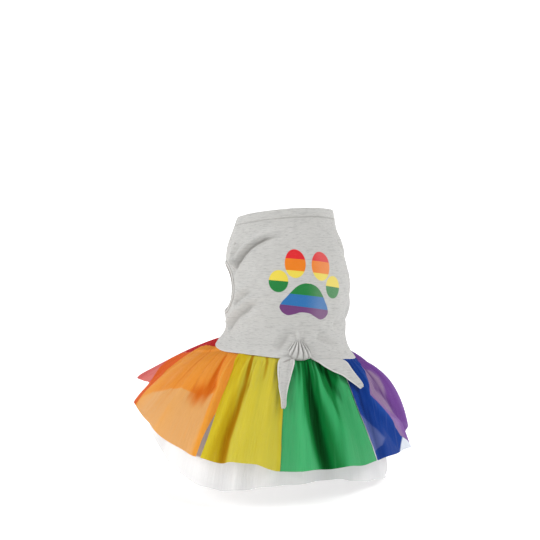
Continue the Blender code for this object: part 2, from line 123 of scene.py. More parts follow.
floor_finish = bpy.data.materials.new("pale_floor")
floor_finish.use_nodes = True
floor_sockets = floor_finish.node_tree.nodes["Principled BSDF"].inputs
floor_sockets["Base Color"].default_value = (*FLOOR_COLOUR, 1.0)
floor_sockets["Roughness"].default_value = FLOOR_ROUGHNESS
floor_sockets["Emission Color"].default_value = (1.0, 1.0, 1.0, 1.0)
floor_sockets["Emission Strength"].default_value = FLOOR_GLOW
floor_shape = bmesh.new()
bmesh.ops.create_circle(floor_shape, cap_ends=True, segments=FLOOR_SEGMENTS, radius=FLOOR_RADIUS)
bmesh.ops.translate(floor_shape, vec=(0.0, 0.0, cad_box[0][2] - FLOOR_DROP), verts=floor_shape.verts)
make_object("floor", floor_shape, floor_finish)

# Bodice: a sleeveless tube of soft heather-grey jersey, cut and sewn to follow the back, open at the neck and
# at the two front legs. Its lower edge hangs free over the skirt's seam and is drawn together at the knot.
BODICE_LENGTH = 0.1510
NECK_HALF_WIDTH = 0.0535
NECK_HALF_DEPTH = 0.0530
CHEST_HALF_WIDTH = 0.0690
CHEST_HALF_DEPTH = 0.0750
WAIST_HALF_WIDTH = 0.0645
WAIST_HALF_DEPTH = 0.0700
SIDE_LEAN = 5.6
BACK_LEAN = 20.0
AXIS = np.array((math.tan(math.radians(SIDE_LEAN)), math.tan(math.radians(BACK_LEAN)), 1.0))
AXIS /= np.linalg.norm(AXIS)
NECK_TILT = 16.0
NECK_BAND_WALL = 0.0019
NECK_BAND_HEIGHT = 0.0105
BELLY_RISE = 0.022
BELLY_FROM = 70.0
BELLY_OVER = 110.0
HEM_FLARE = 0.0085
HEM_FLARE_HEIGHT = 0.024
HEM_FLARE_AT_KNOT = 0.35
HEM_FLARE_OVER = 60.0
JERSEY_WALL = 0.0012
BODICE_COLUMNS = 300
BODICE_ROWS = 130
# Columns: share along the bodice from its lower edge, half width, half depth, tilt, roll, sway.
BODICE_SECTIONS = np.array((
    (0.00, 1.02 * WAIST_HALF_WIDTH, 1.02 * WAIST_HALF_DEPTH, 7.0, -5.5, 0.020),
    (0.14, WAIST_HALF_WIDTH, WAIST_HALF_DEPTH, 8.0, -4.5, 0.010),
    (0.30, 0.97 * CHEST_HALF_WIDTH, 0.97 * CHEST_HALF_DEPTH, 9.5, -3.0, 0.000),
    (0.46, CHEST_HALF_WIDTH, CHEST_HALF_DEPTH, 11.0, -2.0, 0.000),
    (0.64, 0.96 * CHEST_HALF_WIDTH, 0.96 * CHEST_HALF_DEPTH, 13.0, -1.0, 0.010),
    (0.78, 1.16 * NECK_HALF_WIDTH, 1.22 * NECK_HALF_DEPTH, 14.5, 0.0, 0.040),
    (0.88, 1.09 * NECK_HALF_WIDTH, 1.07 * NECK_HALF_DEPTH, 15.5, 0.0, 0.035),
    (1.00, NECK_HALF_WIDTH, NECK_HALF_DEPTH, NECK_TILT, 0.0, 0.000),
))
# Creases: half width and depth in metres, share of the lip above, then the line as (angle, along).
BODICE_CREASES = (
    (0.0030, 0.0046, 0.9, ((70.5, 0.56), (67.8, 0.639), (61.1, 0.695), (53.8, 0.734), (45.5, 0.764),
     (36.2, 0.787), (24, 0.798), (10, 0.8))),
    (0.0030, 0.0056, 0.9, ((73.5, 0.8), (75, 0.775), (79, 0.745), (80.1, 0.709), (78.2, 0.665), (75, 0.62),
     (72.5, 0.575), (70.5, 0.53))),
    (0.0038, 0.0030, 0.7, ((74, 0.35), (68.3, 0.37), (61, 0.395), (53.8, 0.422), (44, 0.445))),
    (0.0042, 0.0038, 0.8, ((92, 0.14), (88.7, 0.16), (80.6, 0.202), (69.8, 0.248), (59, 0.291), (52.7, 0.324),
     (44.1, 0.346), (30, 0.37))),
    (0.0050, 0.0024, 0.5, ((26, 0.02), (20, 0.09), (12, 0.18))),
    (0.0050, 0.0020, 0.5, ((-10, 0.13), (-26, 0.09), (-44, 0.085))),
    (0.0060, 0.0018, 0.5, ((-30, 0.2), (-50, 0.23), (-72, 0.33))),
    (0.0050, 0.0022, 0.6, ((-78, 0.62), (-66, 0.73), (-48, 0.8))),
    (0.0060, 0.0020, 0.6, ((-84, 0.18), (-70, 0.25), (-58, 0.3))),
    (0.0060, 0.0024, 0.6, ((150, 0.3), (176, 0.34), (200, 0.3))),
    (0.0060, 0.0020, 0.6, ((140, 0.72), (176, 0.68), (212, 0.74))),
)
# A crease fades in and out over these shares of its line, and its lip lies this many half widths above it.
CREASE_FADES = (0.10, 0.35)
CREASE_DEEPEST = 0.0046
CREASE_CALM = 0.003
LIP_PLACE = 1.8
LIP_SPREAD = 1.1
GROOVE_SHADE = 1.7
KNOT_ANGLE = 5.8
KNOT_ALONG = 0.045
LEG_HOLE_ANGLE = 106.0
LEG_HOLE_ALONG = 0.47
LEG_HOLE_HALF_WIDTH = 0.0375
LEG_HOLE_HALF_HEIGHT = 0.0280
LEG_BAND_WIDTH = 0.0042
# Pleats that run up the jersey from the knot, and the soft ripple of the whole cloth.
PULLS = 7.0
PULL_HEIGHT = 0.0012
PULL_REACH = 0.014
PULL_SPREAD = 0.010
RIPPLE_HEIGHT = 0.0007


def smooth(x):
    """0 below 0 and 1 above 1, eased between."""
    x = np.clip(x, 0.0, 1.0)
    return x * x * (3.0 - 2.0 * x)


def blend(table, x):
    """Every other column of a table at x, on smooth curves through its rows."""
    keys = table[:, 0]
    index = np.clip(np.searchsorted(keys, x, side="right") - 1, 0, len(keys) - 2)
    low = table[index]
    high = table[index + 1]
    before = table[np.maximum(index - 1, 0)]
    after = table[np.minimum(index + 2, len(keys) - 1)]
    step = high[..., :1] - low[..., :1]
    share = (np.asarray(x)[..., None] - low[..., :1]) / step
    inside = np.clip(share, 0.0, 1.0)
    beyond = share - inside
    leave = (high - before) / (high[..., :1] - before[..., :1]) * step
    arrive = (after - low) / (after[..., :1] - low[..., :1]) * step
    value = low + (high - low) * inside ** 2 * (3.0 - 2.0 * inside)
    value += leave * inside * (1.0 - inside) ** 2 - arrive * inside ** 2 * (1.0 - inside)
    value += beyond * np.where(beyond < 0.0, leave, arrive)
    return np.moveaxis(value, -1, 0)[1:]


def radial(angle):
    """Level direction at an angle round the body; 0 is the middle of the back and the left side is +90."""
    turn = np.radians(angle)
    return np.stack((-np.sin(turn), -np.cos(turn), np.zeros_like(turn)), axis=-1)


def turned(points, tilt, roll):
    """Points of a level section after its tilt and roll, in degrees."""
    tilt = np.radians(tilt)
    roll = np.radians(roll)
    x = points[..., 0]
    y = points[..., 1] * np.cos(tilt)
    z = -points[..., 1] * np.sin(tilt)
    return np.stack((x * np.cos(roll) - z * np.sin(roll), y, x * np.sin(roll) + z * np.cos(roll)), axis=-1)


NECK_CENTRE = turned(np.array((0.0, NECK_HALF_DEPTH - NECK_BAND_WALL, 0.0)), NECK_TILT, 0.0)


def hem_along(angle):
    """Share along the bodice at which its lower edge lies: cut higher at the belly."""
    return BELLY_RISE / BODICE_LENGTH * smooth((np.abs(angle) - BELLY_FROM) / BELLY_OVER)


def near_line(x, y, line):
    """Distance of places from a line of points, the share along it, and +1 on its left side."""
    best = np.full(np.shape(x), 1e9)
    share = np.zeros(np.shape(x))
    side = np.ones(np.shape(x))
    for index in range(len(line) - 1):
        start = line[index]
        run = line[index + 1] - start
        held = np.clip(((x - start[0]) * run[0] + (y - start[1]) * run[1]) / (run @ run), 0.0, 1.0)
        off_x = x - start[0] - run[0] * held
        off_y = y - start[1] - run[1] * held
        away = np.hypot(off_x, off_y)
        closer = away < best
        best = np.where(closer, away, best)
        share = np.where(closer, (index + held) / (len(line) - 1), share)
        side = np.where(closer, np.sign(run[0] * off_y - run[1] * off_x), side)
    return best, share, side


def hole_reach(x, y, grow):
    """Place on the flat cloth against the nearer leg hole, widened by grow: 1 on its edge, less inside."""
    off_x = np.abs(x) - math.radians(LEG_HOLE_ANGLE) * CHEST_HALF_WIDTH
    off_y = y - LEG_HOLE_ALONG * BODICE_LENGTH
    return np.hypot(off_x / (LEG_HOLE_HALF_WIDTH + grow), off_y / (LEG_HOLE_HALF_HEIGHT + grow))


def creases(angle, along):
    """Height of the creases, the pleats drawn toward the knot and the ripple, and the grooves' shade."""
    height = np.zeros(np.shape(angle))
    shade = np.zeros(np.shape(angle))
    x = np.radians(angle) * CHEST_HALF_WIDTH
    y = along * BODICE_LENGTH
    for width, depth, lip, line in BODICE_CREASES:
        path = np.array(line)
        path = np.stack((np.radians(path[:, 0]) * CHEST_HALF_WIDTH, path[:, 1] * BODICE_LENGTH), axis=-1)
        for whole_turn in (0.0, 2.0 * math.pi * CHEST_HALF_WIDTH):
            away, share, side = near_line(x + whole_turn, y, path)
            away = away / width
            up = side * np.sign(path[0][0] - path[-1][0] + 1e-9)
            fade = smooth(share / CREASE_FADES[0]) * smooth((1.0 - share) / CREASE_FADES[1])
            above = 0.5 - 0.5 * np.tanh(up * away * 2.0)
            raised = lip * above * np.exp(-((away - LIP_PLACE) / LIP_SPREAD) ** 2)
            height -= depth * fade * (np.exp(-away ** 2) - raised)
            shade += depth / CREASE_DEEPEST * fade * np.exp(-(GROOVE_SHADE * away) ** 2)
    calm = smooth((hole_reach(x, y, LEG_BAND_WIDTH) - 1.0) * LEG_HOLE_HALF_HEIGHT / CREASE_CALM)
    height *= calm
    shade *= calm
    off_x = x - math.radians(KNOT_ANGLE) * CHEST_HALF_WIDTH
    off_y = y - KNOT_ALONG * BODICE_LENGTH
    reach = np.hypot(off_x, off_y)
    turn = np.arctan2(off_x, off_y)
    pulls = np.cos(turn * PULLS + 0.8 * np.sin(turn * 3.0))
    height += PULL_HEIGHT * pulls * np.exp(-((reach - PULL_REACH) / PULL_SPREAD) ** 2)
    ripple_x = np.sin(x * 95.0 + 1.7 * np.sin(y * 60.0))
    ripple_y = np.sin(y * 88.0 + 2.1 * np.sin(x * 41.0))
    height += RIPPLE_HEIGHT * ripple_x * ripple_y
    return height, np.minimum(shade, 1.0)


def bodice_base(angle, along, creased):
    """Point of the bodice's cloth at an angle and a share along it, with or without its creases."""
    half_width, half_depth, tilt, roll, sway = blend(BODICE_SECTIONS, along)
    above_hem = (along - hem_along(angle)) * BODICE_LENGTH
    flare = HEM_FLARE * np.maximum(0.0, 1.0 - above_hem / HEM_FLARE_HEIGHT) ** 2
    push = flare * (HEM_FLARE_AT_KNOT + (1.0 - HEM_FLARE_AT_KNOT) * smooth(np.abs(angle) / HEM_FLARE_OVER))
    if creased:
        push = push + creases(angle, along)[0]
    turn = np.radians(angle)
    flat = np.stack((-np.sin(turn) * (half_width + push), -np.cos(turn) * (half_depth + push),
                     np.zeros_like(turn)), axis=-1)
    centre = NECK_CENTRE + AXIS * ((along - 1.0) * BODICE_LENGTH)[..., None]
    centre = centre + radial(np.full(np.shape(angle), 90.0)) * (sway * CHEST_HALF_WIDTH)[..., None]
    return centre + turned(flat, tilt, roll)


def face_out(surface, across, down, step_across, step_down):
    """Unit directions square to a surface."""
    side = surface(across + step_across, down) - surface(across - step_across, down)
    fall = surface(across, down + step_down) - surface(across, down - step_down)
    face = np.cross(side, fall)
    return face / np.linalg.norm(face, axis=-1, keepdims=True)


def bodice_point(angle, along, lift, creased=True):
    """The same point, lifted off the cloth."""

    def base(across, up):
        return bodice_base(across, up, creased)

    return base(angle, along) + face_out(base, angle, along, 1.0, -0.01) * np.asarray(lift)[..., None]


def new_cloth(columns, rows):
    """A grid for a piece of cloth, with every vertex's share across and share down."""
    shape = bmesh.new()
    bmesh.ops.create_grid(shape, x_segments=columns, y_segments=rows, size=0.5)
    places = np.array([vertex.co for vertex in shape.verts])
    return shape, places[:, 0] + 0.5, 0.5 - places[:, 1]


def lay(shape, points, flat, tone):
    """Puts the grid's vertices in place, with the flat cloth's metres as UV map and a tone on each vertex."""
    cloth_map = shape.loops.layers.uv.new("cloth")
    tone_layer = shape.verts.layers.float.new("tone")
    for vertex, point, value in zip(shape.verts, points, tone):
        vertex.co = point
        vertex[tone_layer] = value
    shape.verts.index_update()
    for face in shape.faces:
        for loop in face.loops:
            loop[cloth_map].uv = flat[loop.vert.index]


def add_piece(name, shape, finish):
    """Makes the shape a piece that rides on the dress."""
    piece = make_object(name, shape, finish)
    piece.data.shade_smooth()
    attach(piece, "root")
    return piece


def thicken(piece, wall, offset, even):
    """Gives a cloth its wall, inwards with offset -1 and outwards with 1."""
    shell = piece.modifiers.new("wall", "SOLIDIFY")
    shell.thickness = wall
    shell.offset = offset
    shell.use_even_offset = even


class Tap:
    """A node's output that works in sums, on either side of the sign."""

    def __init__(self, finish, socket):
        self.finish = finish
        self.socket = socket


SIGNS = {"add": "ADD", "sub": "SUBTRACT", "mul": "MULTIPLY", "truediv": "DIVIDE", "pow": "POWER"}
for sign, sum_name in SIGNS.items():
    setattr(Tap, f"__{sign}__", lambda tap, other, name=sum_name: tap.finish.maths(name, tap, other))
    setattr(Tap, f"__r{sign}__", lambda tap, other, name=sum_name: tap.finish.maths(name, other, tap))


class Finish:
    """A material and its nodes, for a cloth that keeps its flat metres as UV map and a tone."""

    def __init__(self, name, roughness, sheen, sheen_roughness, specular):
        self.material = bpy.data.materials.new(name)
        self.material.use_nodes = True
        self.nodes = self.material.node_tree.nodes
        self.links = self.material.node_tree.links
        self.sockets = self.nodes["Principled BSDF"].inputs
        names = ("Roughness", "Sheen Weight", "Sheen Roughness", "Specular IOR Level")
        for socket, value in zip(names, (roughness, sheen, sheen_roughness, specular)):
            self.sockets[socket].default_value = value
        self.cloth = self.node("UVMap", {"uv_map": "cloth"}, {})
        self.tone = self.tag("tone")

    def node(self, kind, settings, sockets, output=0):
        made = self.nodes.new("ShaderNode" + kind)
        for key, value in settings.items():
            if key == "stops":
                ramp = made.color_ramp
                while len(ramp.elements) < len(value):
                    ramp.elements.new(0.5)
                for stop, (place, colour) in zip(ramp.elements, value):
                    stop.position = place
                    stop.color = (*colour, 1.0)
            elif key == "curve":
                curve = made.mapping.curves[0]
                while len(curve.points) < len(value):
                    curve.points.new(0.5, 0.5)
                for point, place in zip(curve.points, value):
                    point.location = place
                made.mapping.update()
            else:
                setattr(made, key, value)
        for key, value in sockets.items():
            if isinstance(value, Tap):
                self.links.new(value.socket, made.inputs[key])
            else:
                made.inputs[key].default_value = value
        return Tap(self, made.outputs[output])

    def maths(self, operation, *values):
        return self.node("Math", {"operation": operation}, dict(enumerate(values)))

    def mix(self, factor, first, second):
        first, second = ((*value, 1.0) if isinstance(value, tuple) else value for value in (first, second))
        return self.node("Mix", {"data_type": "RGBA"}, {0: factor, 6: first, 7: second}, 2)

    def step(self, value, low, high):
        """0 below low and 1 above high, eased between."""
        settings = {"interpolation_type": "SMOOTHSTEP"}
        return self.node("MapRange", settings, {"Value": value, "From Min": low, "From Max": high})

    def noise(self, scale, detail, roughness):
        moved = self.node("Mapping", {}, {"Vector": self.cloth, "Scale": scale})
        sockets = {"Vector": moved, "Scale": 1.0, "Detail": detail, "Roughness": roughness}
        return self.node("TexNoise", {"noise_dimensions": "3D"}, sockets)

    def feed(self, name, value):
        self.links.new(value.socket, self.sockets[name])

    def bump(self, height, distance):
        self.feed("Normal", self.node("Bump", {}, {"Height": height, "Distance": distance}))

    def wave(self, value, pitch):
        return self.maths("SINE", value * (2.0 * math.pi / pitch))

    def metres(self, axis):
        return self.node("SeparateXYZ", {}, {0: self.cloth}, axis)

    def tag(self, name):
        """A value that the mesh keeps on its vertices."""
        return self.node("Attribute", {"attribute_name": name}, {}, "Fac")


JERSEY_LIGHT = (0.545, 0.540, 0.520)
JERSEY_DARK = (0.330, 0.330, 0.325)
JERSEY_PALE = (0.660, 0.655, 0.630)
# Painted highlight for lit edges and ridges, then painted shade for seams, stitches, creases and pleat
# valleys.
JERSEY_HIGHLIGHT = (0.80, 0.79, 0.77)
SEAM_SHADE = (0.25, 0.235, 0.22)
JERSEY_ROUGHNESS = 0.92
WALE = 0.0011
COURSE = 0.0009
# Fibres and wrinkles, as noise for each metre across and along the cloth.
FIBRES = (150.0, 1400.0, 1.0)
LONG_FIBRES = (60.0, 520.0, 1.0)
SPECKS = (900.0, 2600.0, 1.0)
WRINKLES = (70.0, 150.0, 1.0)


def jersey_finish(name):
    """Heather jersey: short pale and dark fibres laid along the courses, with fine knit ribs, and painted
    shade and a painted highlight from the tone on its vertices.
    """
    finish = Finish(name, JERSEY_ROUGHNESS, 0.30, 0.45, 0.20)
    streaks = finish.noise(FIBRES, 3.0, 0.6)
    broad = finish.noise(LONG_FIBRES, 2.0, 0.5)
    specks = finish.noise(SPECKS, 1.0, 0.5)
    dark = finish.step(streaks, 0.52, 0.72) * 0.70 + finish.step(broad, 0.5, 0.72) * 0.32
    pale = finish.step(streaks, 0.46, 0.28) * 0.55 + finish.step(specks, 0.62, 0.80) * 0.25
    colour = finish.mix(dark, JERSEY_LIGHT, JERSEY_DARK)
    colour = finish.mix(pale, colour, JERSEY_PALE)
    # Painted shade: a tone below 0 darkens the jersey in seams, stitch lines, creases, the knot's pleat
    # valleys and sides, and the left tail's slit.
    colour = finish.mix(finish.step(finish.tone, 0.0, -1.0) * 0.75, colour, SEAM_SHADE)
    # Painted highlight: a tone above 0 lightens it on the bodice's hem, the knot's pleat ridges and the
    # tails' turned edges.
    colour = finish.mix(finish.step(finish.tone, 0.0, 1.0) * 0.6, colour, JERSEY_HIGHLIGHT)
    ribs = finish.wave(finish.metres("X"), WALE)
    loops = finish.wave(finish.metres("Y"), COURSE)
    wrinkles = finish.noise(WRINKLES, 3.0, 0.55)
    finish.bump(ribs * 0.12 + loops * 0.12 + streaks * 0.5 + wrinkles * 2.0, 0.0006)
    return finish, colour


# The print: a paw in six equal stripes from red to purple, pressed on the jersey as a thin smooth film. Its
# places and sizes are metres on the flat cloth, the same on both sides of the paw's middle line.
PRINT_RIGHT = 0.0017
PRINT_UP = 0.0660
PRINT_TURN = math.radians(6.3)
STRIPE = 0.0117
STRIPE_TOP = 0.0293
STRIPES = ((0.70, 0.008, 0.014), (0.80, 0.20, 0.002), (0.80, 0.64, 0.07),
           (0.006, 0.20, 0.036), (0.02, 0.155, 0.42), (0.15, 0.04, 0.17))
# Toes: across, up, half width, half height, lean.
TOES = ((0.0151, 0.0246, 0.0117, 0.0145, 0.03), (0.0321, 0.0055, 0.0104, 0.0112, 0.16))
PAD_LOW = -0.0282
PAD_HIGH = 0.0061
# Half width of the pad at shares of its height, as shares of PAD_REACH.
PAD_REACH = 0.0292
PAD_SIDE = ((0.0, 0.60), (0.05, 0.82), (0.12, 0.93), (0.22, 1.0), (0.34, 0.955), (0.55, 0.765),
            (0.75, 0.575), (0.90, 0.39), (0.97, 0.22), (1.0, 0.02))
# Underside of the pad at shares of its reach, as shares of its height.
PAD_UNDER = ((0.0, 0.14), (0.20, 0.125), (0.40, 0.06), (0.60, 0.008), (0.68, 0.0), (0.80, 0.02),
             (0.90, 0.08), (1.0, 0.22))
PRINT_EDGE = 0.0003
PRINT_REACH = 0.07
FILM_SMOOTHING = 0.30
# A painted sheen lightens the film's colour to the right of the paw's middle, rising between these two
# places.
FILM_SHEEN = (0.85, 0.83, 0.78)
FILM_SHEEN_SHARE = 0.09
FILM_SHEEN_PLACES = (-0.004, 0.018)
FILM_WEAR = (700.0, 1400.0, 1.0)
FILM_WEAR_SHARE = 0.22

jersey, jersey_colour = jersey_finish("heather_jersey_print")
across_cloth = jersey.metres("X")
right = -1.0 * across_cloth - PRINT_RIGHT
up = jersey.metres("Y") - PRINT_UP
paw_x = right * math.cos(PRINT_TURN) - up * math.sin(PRINT_TURN)
paw_y = right * math.sin(PRINT_TURN) + up * math.cos(PRINT_TURN)
paw_side = jersey.maths("ABSOLUTE", paw_x)
paw = None
for toe_across, toe_up, toe_width, toe_height, lean in TOES:
    from_x = paw_side - toe_across
    from_y = paw_y - toe_up
    toe_x = (from_x * math.cos(lean) - from_y * math.sin(lean)) / toe_width
    toe_y = (from_x * math.sin(lean) + from_y * math.cos(lean)) / toe_height
    ring = (toe_x * toe_x + toe_y * toe_y) ** 0.5
    toe = jersey.step(ring, 1.0 + PRINT_EDGE / toe_width, 1.0 - PRINT_EDGE / toe_width)
    paw = toe if paw is None else jersey.maths("MAXIMUM", paw, toe)
pad_rise = (paw_y - PAD_LOW) / (PAD_HIGH - PAD_LOW)
pad_reach = paw_side / PAD_REACH
side_line = jersey.node("FloatCurve", {"curve": PAD_SIDE}, {"Value": pad_rise})
under_line = jersey.node("FloatCurve", {"curve": PAD_UNDER}, {"Value": pad_reach})
pad = jersey.step(side_line - pad_reach, 0.0, 2.0 * PRINT_EDGE / PAD_REACH)
pad = pad * jersey.step(pad_rise - under_line, 0.0, 2.0 * PRINT_EDGE / (PAD_HIGH - PAD_LOW))
pad = pad * jersey.step(pad_rise, 1.01, 0.99)
paw = jersey.maths("MAXIMUM", paw, pad)
paw = paw * jersey.step(jersey.maths("ABSOLUTE", across_cloth), PRINT_REACH, PRINT_REACH - 0.01)
band = (STRIPE_TOP + STRIPE - paw_y) / (STRIPE * len(STRIPES))
stops = [(index / len(STRIPES), colour) for index, colour in enumerate(STRIPES)]
stripe = jersey.node("ValToRGB", {"stops": stops}, {"Fac": band})
jersey.nodes[-1].color_ramp.interpolation = "CONSTANT"
worn = jersey.noise(FILM_WEAR, 2.0, 0.6)
sheen = jersey.step(paw_x, *FILM_SHEEN_PLACES) * FILM_SHEEN_SHARE
film = jersey.mix(sheen, stripe, FILM_SHEEN)
film = jersey.mix(jersey.step(worn, 0.60, 0.85) * FILM_WEAR_SHARE, film, jersey_colour)
jersey.feed("Base Color", jersey.mix(paw, jersey_colour, film))
jersey.feed("Roughness", JERSEY_ROUGHNESS - paw * FILM_SMOOTHING)

# The grid's vertices near a leg hole are moved onto the cut line, and the faces inside are taken out.
HEM_OVERHANG = 0.014
HEM_WAVE = 0.004
HEM_WAVES = 5.0
SNAP_ROWS = 0.62
EDGE_WIDTH = 0.0010
HEM_HIGHLIGHT = 0.6
NECK_SEAM_SHADE = 0.4
CREASE_SHADE = 0.70
shape, across, down = new_cloth(BODICE_COLUMNS, BODICE_ROWS)
angle = 180.0 - 360.0 * across
top = 1.0 - NECK_BAND_HEIGHT / BODICE_LENGTH
low = hem_along(angle) - HEM_OVERHANG - HEM_WAVE * np.sin(np.radians(angle * HEM_WAVES))
along = top + (low - top) * down
cut_width = LEG_HOLE_HALF_WIDTH + 0.5 * LEG_BAND_WIDTH
cut_height = LEG_HOLE_HALF_HEIGHT + 0.5 * LEG_BAND_WIDTH
for hole_angle in (LEG_HOLE_ANGLE, -LEG_HOLE_ANGLE):
    hole_x = np.radians(angle - hole_angle) * CHEST_HALF_WIDTH
    hole_y = (along - LEG_HOLE_ALONG) * BODICE_LENGTH
    reach = np.hypot(hole_x / cut_width, hole_y / cut_height)
    near = np.abs(reach - 1.0) * cut_height < SNAP_ROWS * (BODICE_LENGTH / BODICE_ROWS)
    onto = np.where(near, 1.0 / np.maximum(reach, 1e-9), 1.0)
    angle = hole_angle + np.degrees(hole_x * onto / CHEST_HALF_WIDTH)
    along = LEG_HOLE_ALONG + hole_y * onto / BODICE_LENGTH
points = bodice_point(angle, along, np.zeros(len(angle)))
flat = np.stack((np.radians(angle) * CHEST_HALF_WIDTH, along * BODICE_LENGTH), axis=-1)
# Painted highlight along the hem's lip, and painted shade along the neck seam and in the creases.
hem_edge = np.exp(-((along - low) * BODICE_LENGTH / EDGE_WIDTH) ** 2)
neck_seam = np.exp(-((along - top) * BODICE_LENGTH / EDGE_WIDTH) ** 2)
tone = HEM_HIGHLIGHT * hem_edge - NECK_SEAM_SHADE * neck_seam - CREASE_SHADE * creases(angle, along)[1]
lay(shape, points, flat, tone)
middles = np.array([np.mean(flat[[vertex.index for vertex in face.verts]], axis=0) for face in shape.faces])
inside = hole_reach(*middles.T, 0.5 * LEG_BAND_WIDTH) < 1.0
bmesh.ops.delete(shape, geom=[face for face, cut in zip(shape.faces, inside) if cut], context="FACES")
bmesh.ops.remove_doubles(shape, verts=shape.verts, dist=1e-6)
bodice = add_piece("bodice_jersey", shape, jersey.material)
thicken(bodice, JERSEY_WALL, -1.0, True)
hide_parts("bodice")

# Neck band: a strip of the same heather jersey, folded double and sewn round the neck edge with one row of
# stitches, which draw the cloth in a little.
BAND_COLUMNS = 220
BAND_ROWS = 20
STITCH_WIDTH = 0.0009
STITCH_PULL = 0.00012
STITCHES = 60.0
STITCH_SHADE = 0.55


def band_loop(count, half_width, half_height):
    """Shares round a flattened loop, as offsets along and out of the cloth."""
    turn = 2.0 * math.pi * count
    flat_part = np.sign(np.cos(turn)) * np.abs(np.cos(turn)) ** 0.5
    high_part = np.sign(np.sin(turn)) * np.abs(np.sin(turn)) ** 0.5
    return half_width * flat_part, half_height * high_part


band_finish, band_colour = jersey_finish("heather_jersey_band")
band_finish.feed("Base Color", band_colour)
shape, across, down = new_cloth(BAND_COLUMNS, BAND_ROWS)
angle = 180.0 - 360.0 * across
offset, lift = band_loop(down, 0.5 * NECK_BAND_HEIGHT, 0.4 * NECK_BAND_WALL)
along = 1.0 + (offset - 0.5 * NECK_BAND_HEIGHT) / BODICE_LENGTH
at_seam = np.exp(-(offset / 0.5 / NECK_BAND_HEIGHT + 1.0) ** 2 * 8.0)
lift = lift - 0.5 * JERSEY_WALL - STITCH_PULL * np.cos(np.radians(angle * STITCHES)) * at_seam
points = bodice_point(angle, along, lift)
flat = np.stack((np.radians(angle) * NECK_HALF_WIDTH, along * BODICE_LENGTH), axis=-1)
# Painted shade along the row of stitches.
stitch = np.exp(-((offset + 0.5 * NECK_BAND_HEIGHT) / STITCH_WIDTH) ** 2)
lay(shape, points, flat, -STITCH_SHADE * stitch)
bmesh.ops.remove_doubles(shape, verts=shape.verts, dist=1e-7)
neck_band = add_piece("neck_band_jersey", shape, band_finish.material)
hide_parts("neck_band")

# Leg bands: a narrow binding of the same jersey turned over the edge of each leg hole, stitched through and
# puckered a little by the stitches.
LEG_BAND_COLUMNS = 200
LEG_BAND_ROWS = 14
LEG_BAND_HALF_WALL = 0.0011
PUCKERS = 46.0
PUCKER_SHARE = 0.08
LEG_STITCH_WIDTH = 0.0006
for name, side in (("left", 1.0), ("right", -1.0)):
    shape, across, down = new_cloth(LEG_BAND_COLUMNS, LEG_BAND_ROWS)
    turn = 2.0 * math.pi * across
    offset, lift = band_loop(down, 0.5 * LEG_BAND_WIDTH, LEG_BAND_HALF_WALL)
    grow = 0.5 * LEG_BAND_WIDTH - offset * side
    lift = lift * (1.0 + PUCKER_SHARE * np.sin(turn * PUCKERS)) - 0.5 * JERSEY_WALL
    angle = side * LEG_HOLE_ANGLE + np.degrees((LEG_HOLE_HALF_WIDTH + grow) * np.cos(turn) / CHEST_HALF_WIDTH)
    along = LEG_HOLE_ALONG + (LEG_HOLE_HALF_HEIGHT + grow) * np.sin(turn) / BODICE_LENGTH
    points = bodice_point(angle, along, lift)
    flat = np.stack((turn * LEG_HOLE_HALF_WIDTH, offset), axis=-1)
    # Painted shade along the stitch lines at the binding's two edges.
    lay(shape, points, flat, -np.exp(-((np.abs(offset) - 0.5 * LEG_BAND_WIDTH) / LEG_STITCH_WIDTH) ** 2))
    bmesh.ops.remove_doubles(shape, verts=shape.verts, dist=1e-7)
    bmesh.ops.recalc_face_normals(shape, faces=shape.faces)
    band = add_piece("leg_band_" + name + "_jersey", shape, band_finish.material)
    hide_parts("leg_band_" + name)

# Skirt: six panels of sheer coloured organza, gathered into one seam under the bodice's edge, each panel's
# side edges left free so that the layers fan out and lap over their neighbours.
SEAM_RISE = 0.018
SEAM_COVER = SEAM_RISE + 0.0028
SKIRT_LENGTH = 0.116
UNDERSKIRT_EXTRA = 0.018
SKIRT_INSET = 0.0016
UNDERSKIRT_INSET = 0.0030
TURN_LENGTH = 0.06
HEADING_LENGTH = 0.35
SEAM_STEPS = 7
FALL_STEPS = 60
SPARE_LENGTH = 1.04
PANEL_COLUMNS = 130
PANEL_ROWS = 110
FOLD_DEPTH = 0.0080
GATHER_DEPTH = 0.0007
GATHER_PITCH = 5.2
GATHER_REACH = 0.030
UNDER_FLAP = 0.0026
LAYER_GAP = 0.0012
LEAST_ROOM = 0.0003
SKIRT_RIGHT = -142.0
SKIRT_LEFT = 146.0
# Columns: angle at the seam, heading of the fall, slopes at the top and at the hem, the underskirt's slopes,
# share of the length, the underskirt's share.
SKIRT_STATIONS = np.array((
    (-142, -112, 12, 70, 36, 82, 0.96, 1),
    (-118, -104, 8, 74, 38, 84, 0.98, 1),
    (-92, -94, 6, 76, 42, 84, 1, 1.01),
    (-68, -70, 24, 78, 54, 84, 1, 1.03),
    (-44, -32, 50, 74, 64, 84, 1, 0.985),
    (-17, -6, 50, 70, 62, 80, 1, 0.945),
    (11, 28, 48, 66, 60, 76, 1, 0.975),
    (38, 42, 46, 66, 58, 76, 1, 1.045),
    (66, 52, 44, 66, 56, 74, 1.01, 1.06),
    (90, 82, 30, 60, 44, 70, 0.955, 1.01),
    (114, 100, 20, 46, 34, 60, 1, 0.93),
    (146, 112, 18, 30, 30, 46, 1, 0.92),
))
